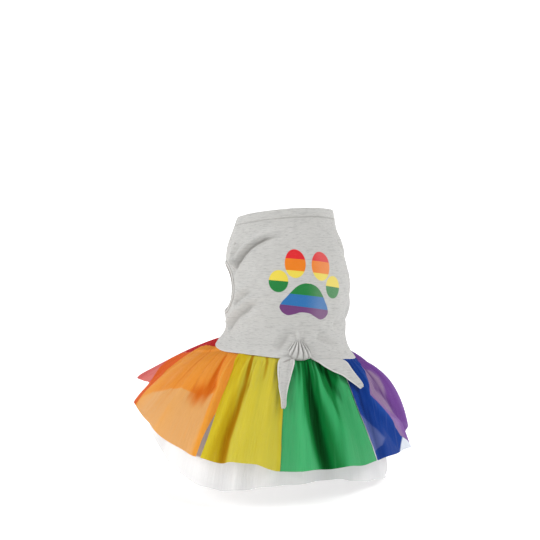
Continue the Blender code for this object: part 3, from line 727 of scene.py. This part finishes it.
# Folds, each a line down the skirt as rows of: millimetres below the bodice's edge, angle, half width, height
# in shares of FOLD_DEPTH.
SKIRT_FOLDS = (
    ((0, 140, 4, 0.2), (60, 140, 8, 0.6), (116, 140, 9, 0.7)),
    ((0, 128, 4, -0.2), (60, 128, 6, -0.5), (116, 128, 7, -0.5)),
    ((0, 112, 3, 0.2), (42, 110, 5, 0.5), (96, 111, 6, 0.6)),
    ((0, 100, 4, -0.2), (40, 96, 6, -0.4), (110, 98, 8, -0.3)),
    ((0, 88, 3, 0.2), (30, 88, 5, 0.5), (110, 91, 8, 0.6)),
    ((0, 73, 3, -0.3), (14, 71.5, 2.4, -0.7), (25, 71, 3, -0.9), (40, 70.5, 5, -1.1), (56, 74, 7, -0.5),
     (70, 76, 8, -0.1), (116, 78, 8, 0)),
    ((0, 84, 3, 0), (35, 82, 4, -0.2), (52, 82, 6, -0.65), (70, 83, 8, -0.2), (84, 84, 8, 0)),
    ((0, 65, 3, 0.3), (38, 61.5, 3, 0.7), (79, 63.5, 3.5, 0.7), (116, 66, 5, 0.6)),
    ((0, 50, 2.5, 0.4), (28, 49, 4, 0.7), (57, 51, 5, 0.8), (96, 56, 5, 0.8), (116, 58, 5, 0.7)),
    ((0, 45.6, 1.8, -0.8), (33, 43.4, 3.8, -1), (62, 46, 4.6, -1.1), (93, 49, 4.8, -1),
     (116, 48.5, 5, -0.8)),
    ((0, 39, 2.5, 0.4), (32, 37.5, 5, 0.7), (60, 37, 6, 0.7), (91, 38, 6, 0.6), (116, 38, 7, 0.5)),
    ((0, 33.5, 1.6, -0.7), (22, 33.5, 2.4, -0.6), (40, 34, 3, -0.1), (116, 34, 4, 0)),
    ((0, 27, 2.5, 0.4), (30, 26, 5, 0.5), (116, 25, 7, 0.4)),
    ((0, 20, 2, -0.5), (40, 18, 3, -0.4), (116, 16, 4, -0.2)),
    ((0, 9.5, 2.5, 0.5), (32, 7.8, 3.6, 0.9), (80, 3.8, 4, 1), (116, 2, 4.5, 0.9)),
    ((0, 0.5, 2, -0.6), (29, -0.4, 3, -1), (56, -2.8, 3.4, -1.1), (92, -6, 4, -1), (116, -8.5, 4.5, -0.8)),
    ((0, -5.5, 2, 0.5), (31, -7.7, 3, 0.9), (56, -12, 4.5, 0.9), (80, -16, 7, 0.7), (116, -18, 8, 0.5)),
    ((0, -12, 2, -0.6), (14, -14, 3, -0.8), (32, -19, 3.5, -0.6), (50, -24, 4, -0.2), (116, -27, 5, 0)),
    ((0, -22, 3, 0.3), (40, -28, 4, 0.4), (116, -34, 6, 0.4)),
    ((0, -42, 3, -0.3), (50, -40, 4, -0.5), (116, -46, 5, -0.4)),
    ((0, -54, 3, 0.3), (43, -47, 4, 0.6), (62, -52.5, 4.5, 0.8), (86, -63, 5, 0.9), (116, -69, 6, 0.8)),
    ((0, -66, 3, -0.3), (40, -60, 4, -0.6), (80, -72, 5, -0.5), (116, -78, 6, -0.4)),
    ((0, -78, 3, 0.3), (50, -80, 6, 0.8), (116, -84, 8, 0.8)),
    ((0, -94, 3, -0.3), (50, -95, 6, -0.5), (116, -97, 7, -0.5)),
    ((0, -110, 3, 0.3), (50, -111, 7, 0.7), (116, -112, 8, 0.8)),
    ((0, -128, 3, -0.2), (50, -128, 7, -0.4), (116, -130, 7, -0.4)),
)


def fall_path(angle, under):
    """Points straight down the skirt from its seam at each angle: rows of points, and their distances."""
    heading, slope_top, slope_hem, under_top, under_hem, share, under_share = blend(SKIRT_STATIONS, angle)
    length = SKIRT_LENGTH * share
    inset = SKIRT_INSET
    if under:
        slope_top = under_top
        slope_hem = under_hem
        length = (length + UNDERSKIRT_EXTRA) * under_share
        inset = UNDERSKIRT_INSET
    seam = hem_along(angle) + SEAM_RISE / BODICE_LENGTH
    drop = np.linspace(0.0, SEAM_COVER, SEAM_STEPS + 1)
    inwards = np.full(len(angle), -inset)
    rows = [bodice_point(angle, seam - fall / BODICE_LENGTH, inwards, False) for fall in drop]
    last = rows[-1] - bodice_point(angle, seam - (SEAM_COVER - 0.002) / BODICE_LENGTH, inwards, False)
    first_slope = np.degrees(np.arctan2(-last[:, 2], np.hypot(last[:, 0], last[:, 1])))
    step = SPARE_LENGTH * length / FALL_STEPS
    point = rows[-1]
    for index in range(FALL_STEPS):
        gone = (index + 0.5) * step / length
        settled = 1.0 - (1.0 - np.minimum(1.0, gone)) ** 2
        slope = slope_top + (slope_hem - slope_top) * settled
        slope = np.radians(first_slope + (slope - first_slope) * smooth(gone / TURN_LENGTH))
        way = angle + (heading - angle) * smooth(gone / HEADING_LENGTH)
        point = point + radial(way) * (np.cos(slope) * step)[:, None]
        point[:, 2] -= np.sin(slope) * step
        rows.append(point.copy())
    distances = np.concatenate((np.repeat(drop[:, None] - SEAM_COVER, len(angle), axis=1),
                                np.outer(np.arange(1, FALL_STEPS + 1), step)))
    return np.array(rows), distances


SKIRT_ANGLES = np.linspace(SKIRT_RIGHT, SKIRT_LEFT, 577)
SKIRT_PATHS = {under: fall_path(SKIRT_ANGLES, under) for under in (False, True)}


def skirt_base(angle, free, under):
    """Point of a skirt layer at an angle and a distance below the bodice's edge, before its folds."""
    rows, distances = SKIRT_PATHS[under]
    place = (angle - SKIRT_ANGLES[0]) / (SKIRT_ANGLES[1] - SKIRT_ANGLES[0])
    place = np.clip(place, 0.0, len(SKIRT_ANGLES) - 1.001)
    column = place.astype(int)
    point = 0.0
    for side, weight in ((column, 1.0 - (place - column)), (column + 1, place - column)):
        step = distances[SEAM_STEPS + 1, side]
        row = SEAM_STEPS + np.where(free < 0.0, free / SEAM_COVER * SEAM_STEPS, free / step)
        row = np.clip(row, 0.0, len(rows) - 1.001)
        index = row.astype(int)
        part = (row - index)[:, None]
        point = point + (rows[index, side] * (1.0 - part) + rows[index + 1, side] * part) * weight[:, None]
    return point


def read_line(line, free):
    """The values of a line's rows at distances below the bodice's edge."""
    reach, *columns = np.array(line, dtype=float).T
    return [np.interp(free * 1000.0, reach, column) for column in columns]


def fold_height(angle, free):
    """Push of the skirt's folds at angles and distances, in shares of FOLD_DEPTH."""
    height = np.zeros(len(angle))
    for line in SKIRT_FOLDS:
        middle, width, share = read_line(line, free)
        height += share * np.exp(-((angle - middle) / width) ** 2)
    return height


def gathers(angle, free):
    """Small uneven pleats that start at the seam and run out down the cloth."""
    wander = 1.3 * np.sin(np.radians(angle * 7.3)) + 0.7 * np.sin(np.radians(angle * 17.0 + 40.0))
    fine = np.sin(np.radians(angle) * 360.0 / GATHER_PITCH + wander)
    finer = np.sin(np.radians(angle) * 360.0 / (0.61 * GATHER_PITCH) + 2.0 * wander)
    return (fine + 0.5 * finer) * np.exp(-np.maximum(free, 0.0) / GATHER_REACH)


def held_off(angle, free, push):
    """The same push, with its deepest parts eased so that a panel stays outside the underskirt."""
    room = np.linalg.norm(skirt_base(angle, free, False) - skirt_base(angle, free, True), axis=-1)
    room = np.maximum(room - LAYER_GAP, LEAST_ROOM)
    return np.where(push < 0.0, -room * (1.0 - np.exp(np.minimum(push, 0.0) / room)), push)


def skirt_point(angle, free, under, lift):
    """The same point, lifted off the cloth."""

    def base(across, down):
        return skirt_base(across, down, under)

    return base(angle, free) + face_out(base, angle, free, 1.0, 0.002) * np.asarray(lift)[..., None]


# Panels: name, colours of the single cloth, the gathered ridges (deeper cloth and a painted highlight), the
# doubled cloth, the valleys' painted shade and the lap over a neighbour, the edges as rows of (millimetres,
# left angle, right angle), the share of the length, the cut's width at the hem and the area that its sloping
# edges leave of it.
PANELS = (
    ("red", (0.74, 0.17, 0.14), (0.6, 0.01, 0.016), (0.5, 0.001, 0.006), (0.4, 0.001, 0.004),
     (0.7, 0.05, 0.03),
     ((0, 146, 88), (6, 146, 98), (14, 146, 106), (24, 146, 114), (42, 146, 118), (57, 146, 122),
      (73, 146, 126), (86, 146, 125), (100, 146, 120), (116, 146, 114)), 1, 0.09, 0.0076),
    ("orange", (0.76, 0.38, 0.12), (0.84, 0.36, 0.045), (0.8, 0.27, 0.025), (0.64, 0.13, 0.006),
     (0.74, 0.12, 0.02),
     ((0, 96, 54), (6, 107, 54), (13, 114.5, 54), (21, 121, 53.5), (33, 126, 54), (42, 130, 54.5),
      (55, 135, 56.6), (72, 137.5, 59.2), (86, 135, 61), (99, 128, 62.4), (110, 120, 63.2),
      (117, 109, 63.7)), 1, 0.18, 0.018),
    ("yellow", (0.62, 0.53, 0.042), (0.7, 0.57, 0.03), (0.6, 0.42, 0.01), (0.4, 0.18, 0.001),
     (0.6, 0.46, 0.01),
     ((0, 59, 15.5), (18, 56.6, 16.5), (36, 56.2, 17.2), (69, 57.9, 15.5), (97, 58.6, 14.2),
      (116, 59.8, 14)), 1, 0.12, 0.0105),
    # The green's doubled colour is also the painted shade below the knot.
    ("green", (0.045, 0.38, 0.13), (0.05, 0.45, 0.155), (0.001, 0.18, 0.032), (0.0001, 0.042, 0.005),
     (0.1, 0.3, 0.05),
     ((0, 18, -33.6), (24, 19.5, -31.5), (46, 19.5, -32.5), (67, 18, -35.1), (96, 16.4, -39.4),
      (116, 16, -41.2)), 1, 0.14, 0.0138),
    ("blue", (0.1, 0.135, 0.36), (0.02, 0.08, 0.38), (0.006, 0.045, 0.27), (0.003, 0.013, 0.09),
     (0.74, 0.78, 0.86),
     ((0, -33, -68), (12, -31.5, -57.5), (22, -31, -54), (32, -31.5, -50), (43, -32, -46.2),
      (52, -33, -49.3), (63, -34.2, -52.6), (79, -37, -57.2), (98, -39.5, -61), (107, -40.4, -65),
      (116, -41, -68.5)), 1, 0.09, 0.0063),
    ("purple", (0.3, 0.195, 0.33), (0.23, 0.095, 0.37), (0.16, 0.05, 0.28), (0.09, 0.025, 0.17),
     (0.22, 0.13, 0.24),
     ((0, -64, -142), (20, -50, -142), (40, -43, -142), (70, -48, -142), (116, -60, -142)),
     0.97, 0.22, 0.0228),
)
# Doubled cloth, and on the green one zone of painted shade: panel, tone, softness of its edge in degrees,
# rows of: millimetres, from angle, to angle.
DOUBLED_AND_SHADED = (
    ("orange", 0.8, 2, ((20, 132, 50), (46, 134, 64), (53, 134, 76), (58, 134, 90), (68, 136, 100),
     (88, 136, 108), (105, 128, 112), (113, 124, 115))),
    ("orange", 0.9, 2.4, ((0, 70, 50), (38, 66, 50), (79, 65, 50), (116, 66.5, 50))),
    ("orange", 2, 2.4, ((0, 150, 130), (21, 150, 124), (42, 150, 121), (57, 150, 124), (73, 150, 125),
     (86, 150, 119), (99, 150, 114), (110, 150, 111), (116, 150, 110))),
    ("red", 1, 5, ((24, 160, 80), (40, 160, 110), (60, 160, 150))),
    ("yellow", 1, 4, ((0, 70, 48), (60, 70, 47), (116, 70, 50))),
    # Painted shade: the dark zone below the knot and between the tails, laid with the green's doubled colour.
    ("green", 1, 6, ((0, 18, -26), (20, 11, -24), (45, 7, -18), (80, 1, -18), (116, -4, -17))),
    ("green", -0.7, 0.6, ((40, 15, 20), (60, 12.5, 20), (90, 11.5, 20), (116, 11, 20))),
    ("blue", 1, 3.5, ((43, -20, -80), (56, -30, -80), (68, -40, -80), (80, -46, -80), (92, -50, -80),
     (98, -48, -80), (104, -38, -80), (108, -34, -80))),
    ("blue", 2, 1.6, ((94, -90, -100), (99, -62.5, -84), (111, -60, -84), (118, -58, -84))),
    ("purple", 0.9, 6, ((0, -50, -150), (12, -58, -150), (22, -68, -150), (34, -70, -150), (54, -66, -150),
     (78, -62.5, -150), (93, -63, -150), (104, -65, -150), (116, -68, -150))),
)
# Laps: panel, height in metres, softness of the start in degrees, rows of: millimetres, angle it starts from.
LAPS = (
    ("orange", 0.0016, 4, ((0, 84), (6, 94), (14, 102), (24, 110), (42, 114), (57, 118), (73, 122),
     (86, 121), (100, 116), (116, 108))),
    ("yellow", 0.0012, 3, ((0, 51), (20, 50), (48, 51), (75, 55), (116, 58))),
    ("blue", 0.0011, 4, ((0, -120),)),
    ("green", -0.0008, 2, ((0, 14), (24, 15.5), (46, 15.5), (67, 14), (96, 12.5), (116, 12))),
)
# Hem trim: angle, length as a share of the plain length.
HEM_TRIM = np.array((
    (-142, 0.99), (-80, 0.965), (-68.5, 1.02), (-62, 0.985), (-50, 0.975), (-41, 0.965), (-26, 0.985),
    (-8, 1.015), (14, 1.045), (16, 1.035), (26, 1.01), (36, 1), (116, 1), (121, 0.9), (124.5, 0.85),
    (129, 0.88), (134, 0.95), (139.5, 1.04),
))


def panel_tone(name, angle, free):
    """Tone of a panel's cloth: below 0 worn thin, 0 single, 1 doubled, 2 lapped over a neighbour; on the
    green, 1 also marks painted shade below the knot.
    """
    tone = np.zeros(len(angle))
    for owner, strength, softness, line in DOUBLED_AND_SHADED:
        if owner == name:
            left, right = read_line(line, free)
            inside = smooth((left - angle) / softness + 0.5) * smooth((angle - right) / softness + 0.5)
            tone = np.where(inside > 0.001, tone + (strength - tone) * inside, tone)
    return tone


ORGANZA_ROUGHNESS = 0.55
THREAD_STREAKS = (1500.0, 26.0, 1.0)
BROAD_STREAKS = (330.0, 12.0, 1.0)
WARP = 0.0006
WEFT = 0.0008


def organza(name, single, ridge, doubled, valley, lapped, thin, dense):
    """Sheer organza: crisp shiny threads, paler in one layer and deeper where layers lie together, with a
    painted highlight on the fold ridges and painted shade in the valleys.
    """
    finish = Finish(name, ORGANZA_ROUGHNESS, 0.02, 0.35, 0.04)
    tone = finish.tone
    fold = finish.tag("fold")
    streaks = finish.noise(THREAD_STREAKS, 3.0, 0.6)
    broad = finish.noise(BROAD_STREAKS, 2.0, 0.5)
    colour = finish.mix(finish.step(tone, 0.0, 1.0), single, doubled)
    # Painted highlight on the fold ridges, mixed with the deeper colour of gathered cloth, and painted shade
    # in the valleys.
    colour = finish.mix(finish.step(fold, 0.15, 0.95) * 0.8, colour, ridge)
    colour = finish.mix(finish.step(fold, -0.10, -0.85), colour, valley)
    colour = finish.mix(finish.step(streaks, 0.50, 0.72) * 0.30, colour, doubled)
    colour = finish.mix(finish.step(broad, 0.55, 0.75) * 0.22, colour, single)
    colour = finish.mix(finish.step(tone, 1.0, 2.0), colour, lapped)
    finish.feed("Base Color", colour)
    warp = finish.wave(finish.metres("X"), WARP)
    weft = finish.wave(finish.metres("Y"), WEFT)
    cover = finish.step(tone, -1.0, 1.0) * (dense - thin) + thin + finish.step(fold, 0.0, -0.8) * 0.08
    cover = cover + warp * 0.02 + weft * 0.02 + (streaks - 0.5) * 0.10
    finish.feed("Alpha", finish.node("Clamp", {}, {"Value": cover}))
    finish.bump(warp * 0.15 + weft * 0.15 + streaks * 1.2 + broad * 1.5, 0.0005)
    return finish


def add_fold_layer(piece, values):
    """Keeps how far a vertex lies on a ridge or in a valley, for the finish's painted highlight and shade."""
    layer = piece.data.attributes.new("fold", "FLOAT", "POINT")
    layer.data.foreach_set("value", values)


# The seam allowance takes this share of a layer's rows, and a panel's rows below it grow toward the hem.
SEAM_SHARE = 0.12
ROW_GROWTH = 1.1
PANEL_THIN = 0.93
PANEL_DENSE = 0.99
CLOTH_RADIUS = 0.10


def below_edge(down, growth, full):
    """Distance below the bodice's edge of a layer's rows, negative in the seam allowance."""
    below = np.maximum(0.0, down - SEAM_SHARE) / (1.0 - SEAM_SHARE)
    share = np.where(down < SEAM_SHARE, down / SEAM_SHARE - 1.0, below ** growth)
    return share * np.where(share < 0.0, SEAM_COVER, full)


def hem_wave(angle, start, long_wave, short_wave):
    """Share by which a hem wanders up and down."""
    slow = np.sin(np.radians(angle * 9.0 + start))
    return 1.0 + long_wave * slow + short_wave * np.sin(np.radians(angle * 23.0))


for name, single, ridge, doubled, valley, lapped, edges, length, cut_width, cut_area in PANELS:
    finish = organza("sheer_" + name, single, ridge, doubled, valley, lapped, PANEL_THIN, PANEL_DENSE)
    shape, across, down = new_cloth(PANEL_COLUMNS, PANEL_ROWS)
    hem_left, hem_right = edges[-1][1:]
    guess = hem_left + (hem_right - hem_left) * across
    full = SKIRT_LENGTH * length * blend(SKIRT_STATIONS, guess)[5]
    full = full * hem_wave(guess, 0.0, 0.007, 0.004) * np.interp(guess, *HEM_TRIM.T)
    free = below_edge(down, ROW_GROWTH, full)
    left, right = read_line(edges, free)
    angle = left + (right - left) * across
    angle = angle + 0.35 * np.sin(free * 90.0) * (across - 0.5)
    height = fold_height(angle, free)
    growth = smooth(free / 0.020) * (0.45 + 0.55 * np.clip(free / SKIRT_LENGTH, 0.0, 1.0))
    small = gathers(angle, free)
    lift = FOLD_DEPTH * growth * height + GATHER_DEPTH * small * smooth((free + 0.004) / 0.012)
    lift = held_off(angle, free, lift) - UNDER_FLAP * smooth(-free / 0.006)
    for owner, rise, softness, line in LAPS:
        if owner == name:
            lift += rise * smooth((angle - read_line(line, free)[0]) / softness)
    points = skirt_point(angle, free, False, lift)
    flat = np.stack((np.radians(angle) * CLOTH_RADIUS, free), axis=-1)
    lay(shape, points, flat, panel_tone(name, angle, free))
    piece = add_piece("skirt_" + name + "_organza", shape, finish.material)
    add_fold_layer(piece, height + 0.45 * small * smooth(free / 0.006))
    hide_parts("skirt_" + name)

# Underskirt: one longer layer of sheer white organza, gathered into the same seam under the coloured panels.
# One fold is pressed in, and between the orange and the yellow panel it alone lies over the dark hollow,
# whose shade is painted onto it there.
UNDER_COLUMNS = 320
UNDER_ROWS = 110
UNDER_FOLDS = 6.0
UNDER_FOLD_DEPTH = 0.0020
UNDER_THIN = 0.62
UNDER_DENSE = 0.86
PRESSED_ANGLE = 43.5
PRESSED_WIDTH = 1.7
PRESSED_HEIGHT = 0.0007
SLOT_TOP = 0.050
SLOT_FOOT = 0.1180
# The white's ridge and valley colours are a painted highlight and painted shade on its folds; its lap colour
# is the painted shade of the dark hollow behind the gap between the orange and the yellow panel.
white = organza("sheer_white", (0.88, 0.88, 0.885), (0.95, 0.95, 0.95), (0.92, 0.92, 0.92),
                (0.78, 0.78, 0.79), (0.34, 0.22, 0.16), UNDER_THIN, UNDER_DENSE)
shape, across, down = new_cloth(UNDER_COLUMNS, UNDER_ROWS)
angle = SKIRT_LEFT - (SKIRT_LEFT - SKIRT_RIGHT) * across
share, under_share = blend(SKIRT_STATIONS, angle)[5:]
full = (SKIRT_LENGTH * share + UNDERSKIRT_EXTRA) * under_share
full = full * hem_wave(angle, 30.0, 0.006, 0.003) * (1.0 - 0.06 * smooth((angle - 128.0) / 14.0))
free = below_edge(down, 1.0, full)
growth = smooth(free / 0.040)
wave = np.sin(np.radians(angle * UNDER_FOLDS)) + 0.5 * np.sin(np.radians(angle * 17.0 + 60.0))
pressed = np.exp(-((angle - PRESSED_ANGLE) / PRESSED_WIDTH) ** 2) * growth
lift = UNDER_FOLD_DEPTH * growth * wave + PRESSED_HEIGHT * pressed - UNDER_FLAP * smooth(-free / 0.006)
points = skirt_point(angle, free, True, lift)
# Painted shade: where the underskirt shows between the orange and the yellow panel, it takes the dark colour
# of the hollow behind it.
hollow_shade = smooth((free - SLOT_TOP) / 0.012) * smooth((SLOT_FOOT - free) / 0.006)
hollow_shade = hollow_shade * smooth((angle - 55.0 - 5.0 * smooth((free - 0.090) / 0.02)) / 1.5)
hollow_shade = hollow_shade * smooth((73.0 - angle) / 2.0)
lay(shape, points, np.stack((np.radians(angle) * CLOTH_RADIUS, free), axis=-1), 2.0 * hollow_shade)
underskirt = add_piece("underskirt_organza", shape, white.material)
# Its fold values give a painted highlight on the wave crests and the pressed fold, and painted shade in the
# troughs.
add_fold_layer(underskirt, 0.7 * wave * growth + 1.3 * pressed)
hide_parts("underskirt")

# Knot: the lower edge of the bodice, gathered in a fan of small pleats and tied at the middle of the back. It
# is the bodice's own jersey, pulled tight, and stands proud of it.
KNOT_HALF_WIDTH = 0.0112
KNOT_HALF_HEIGHT = 0.0112
KNOT_RISE = 0.0072
KNOT_THICKNESS = 0.0100
KNOT_TAPER = 0.45
KNOT_PLEATS = 5.6
PLEAT_DEPTH = 0.0017
KNOT_INSET = 0.0012
KNOT_COLUMNS = 180
KNOT_ROWS = 90
shape, across, down = new_cloth(KNOT_COLUMNS, KNOT_ROWS)
turn = 2.0 * math.pi * across
polar = math.pi * np.clip(down, 0.004, 0.996)
ball_x = np.sin(polar) * np.sin(turn)
ball_y = -np.sin(polar) * np.cos(turn)
ball_z = np.cos(polar)
fan = ball_x / (1.55 - 0.75 * ball_z)
fade = smooth((0.95 - ball_z) / 0.8) * np.maximum(0.0, -ball_y) ** 0.5
rays = np.cos(fan * math.pi * KNOT_PLEATS + 0.3 + 0.25 * np.sin(ball_z * 3.0))
pleat = (2.0 * np.abs(rays) ** 0.7 - 1.0) * fade
wide = KNOT_HALF_WIDTH * (1.0 - KNOT_TAPER * ball_z)
angle = KNOT_ANGLE - np.degrees(ball_x * wide / WAIST_HALF_WIDTH)
along = (ball_z * KNOT_HALF_HEIGHT + KNOT_RISE) / BODICE_LENGTH
bulge = KNOT_THICKNESS * (0.62 - 0.30 * ball_z)
lift = -KNOT_INSET + bulge * np.maximum(-ball_y, -0.1) + PLEAT_DEPTH * pleat
points = bodice_point(angle, along, lift, False)
flat = np.stack((ball_x * 0.02, ball_z * 0.02), axis=-1)
# Painted highlight on the pleats' ridges, and painted shade in their valleys and round the knot's sides where
# it sinks into the bodice.
rim_shade = smooth((0.42 + ball_y) / 0.35)
lay(shape, points, flat, np.where(pleat > 0.0, 0.8 * pleat, 1.3 * pleat) - 0.7 * rim_shade)
bmesh.ops.remove_doubles(shape, verts=shape.verts, dist=2e-5)
bmesh.ops.recalc_face_normals(shape, faces=shape.faces)
knot = add_piece("knot_jersey", shape, band_finish.material)
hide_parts("knot")

# Tails: the two pointed ends of the tied edge, single jersey with narrow turned edges. They come out of the
# knot and lie on the skirt. The left one has a short slit beside the knot, painted as a line of shade.
TAIL_LIFT = 0.0034
TAIL_WALL = 0.0012
TAIL_COLUMNS = 40
TAIL_ROWS = 90
TAIL_CROWN = 0.0024
TAIL_DENT = 0.0010
TAIL_EDGE = 0.0007
# Rows of: share, left angle and millimetres, right angle and millimetres.
TAILS = (
    ("left", ((0, 19, -6, 10.5, -6), (0.12, 22.6, 2.5, 11, 1), (0.25, 23.8, 10, 12, 9),
     (0.45, 23, 21, 13.9, 20), (0.65, 20.6, 34, 15.3, 33), (0.85, 18, 46, 15.6, 45.5),
     (0.95, 17, 53.8, 15.2, 53.2), (1, 16.4, 56.4, 15.8, 56.2))),
    ("right", ((0, 1, -7, -31, -8), (0.15, -7.2, 2, -35, -1), (0.35, -12.5, 9, -36.2, 5),
     (0.55, -18.5, 14.5, -37.3, 12.5), (0.75, -26, 21, -39.3, 20.5), (0.9, -34, 29, -41.6, 27.5),
     (0.97, -37.6, 33.2, -42.2, 31.4), (1, -39, 34.5, -41.6, 33.4))),
)
for name, rows in TAILS:
    shape, across, down = new_cloth(TAIL_COLUMNS, TAIL_ROWS)
    left_angle, left_reach, right_angle, right_reach = blend(np.array(rows), down)
    angle = left_angle + (right_angle - left_angle) * across
    free = (left_reach + (right_reach - left_reach) * across) / 1000.0
    middle = 2.0 * across - 1.0
    height = np.maximum(0.0, fold_height(angle, free)) * smooth(free / 0.020)
    crown = TAIL_CROWN * (1.0 - middle ** 2)
    crown -= TAIL_DENT * np.exp(-((middle - 0.35) / 0.16) ** 2) * (1.0 - down)
    rolled = TAIL_EDGE * smooth((np.abs(middle) - 0.82) / 0.15)
    clear = smooth((free + 0.002) / 0.009)
    lift = TAIL_LIFT + FOLD_DEPTH * 0.5 * height + crown + rolled
    lift = (SKIRT_INSET + 0.0003 - TAIL_WALL) * (1.0 - clear) + lift * clear
    points = skirt_point(angle, free, False, lift)
    flat = np.stack((middle * 0.012, free), axis=-1)
    # Painted shade along the left tail's slit, and a painted highlight on both tails' turned edges.
    slit_shade = np.exp(-((middle - 0.75 + 10.0 * (down - 0.11)) / 0.20) ** 2) * smooth((0.24 - down) / 0.05)
    edge = 0.85 * smooth((np.abs(middle) - 0.84) / 0.12) * clear
    lay(shape, points, flat, edge - (1.3 * slit_shade if name == "left" else 0.0))
    tail = add_piece("tie_tail_" + name + "_jersey", shape, band_finish.material)
    thicken(tail, TAIL_WALL, 1.0, False)
    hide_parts("tie_tail_" + name)
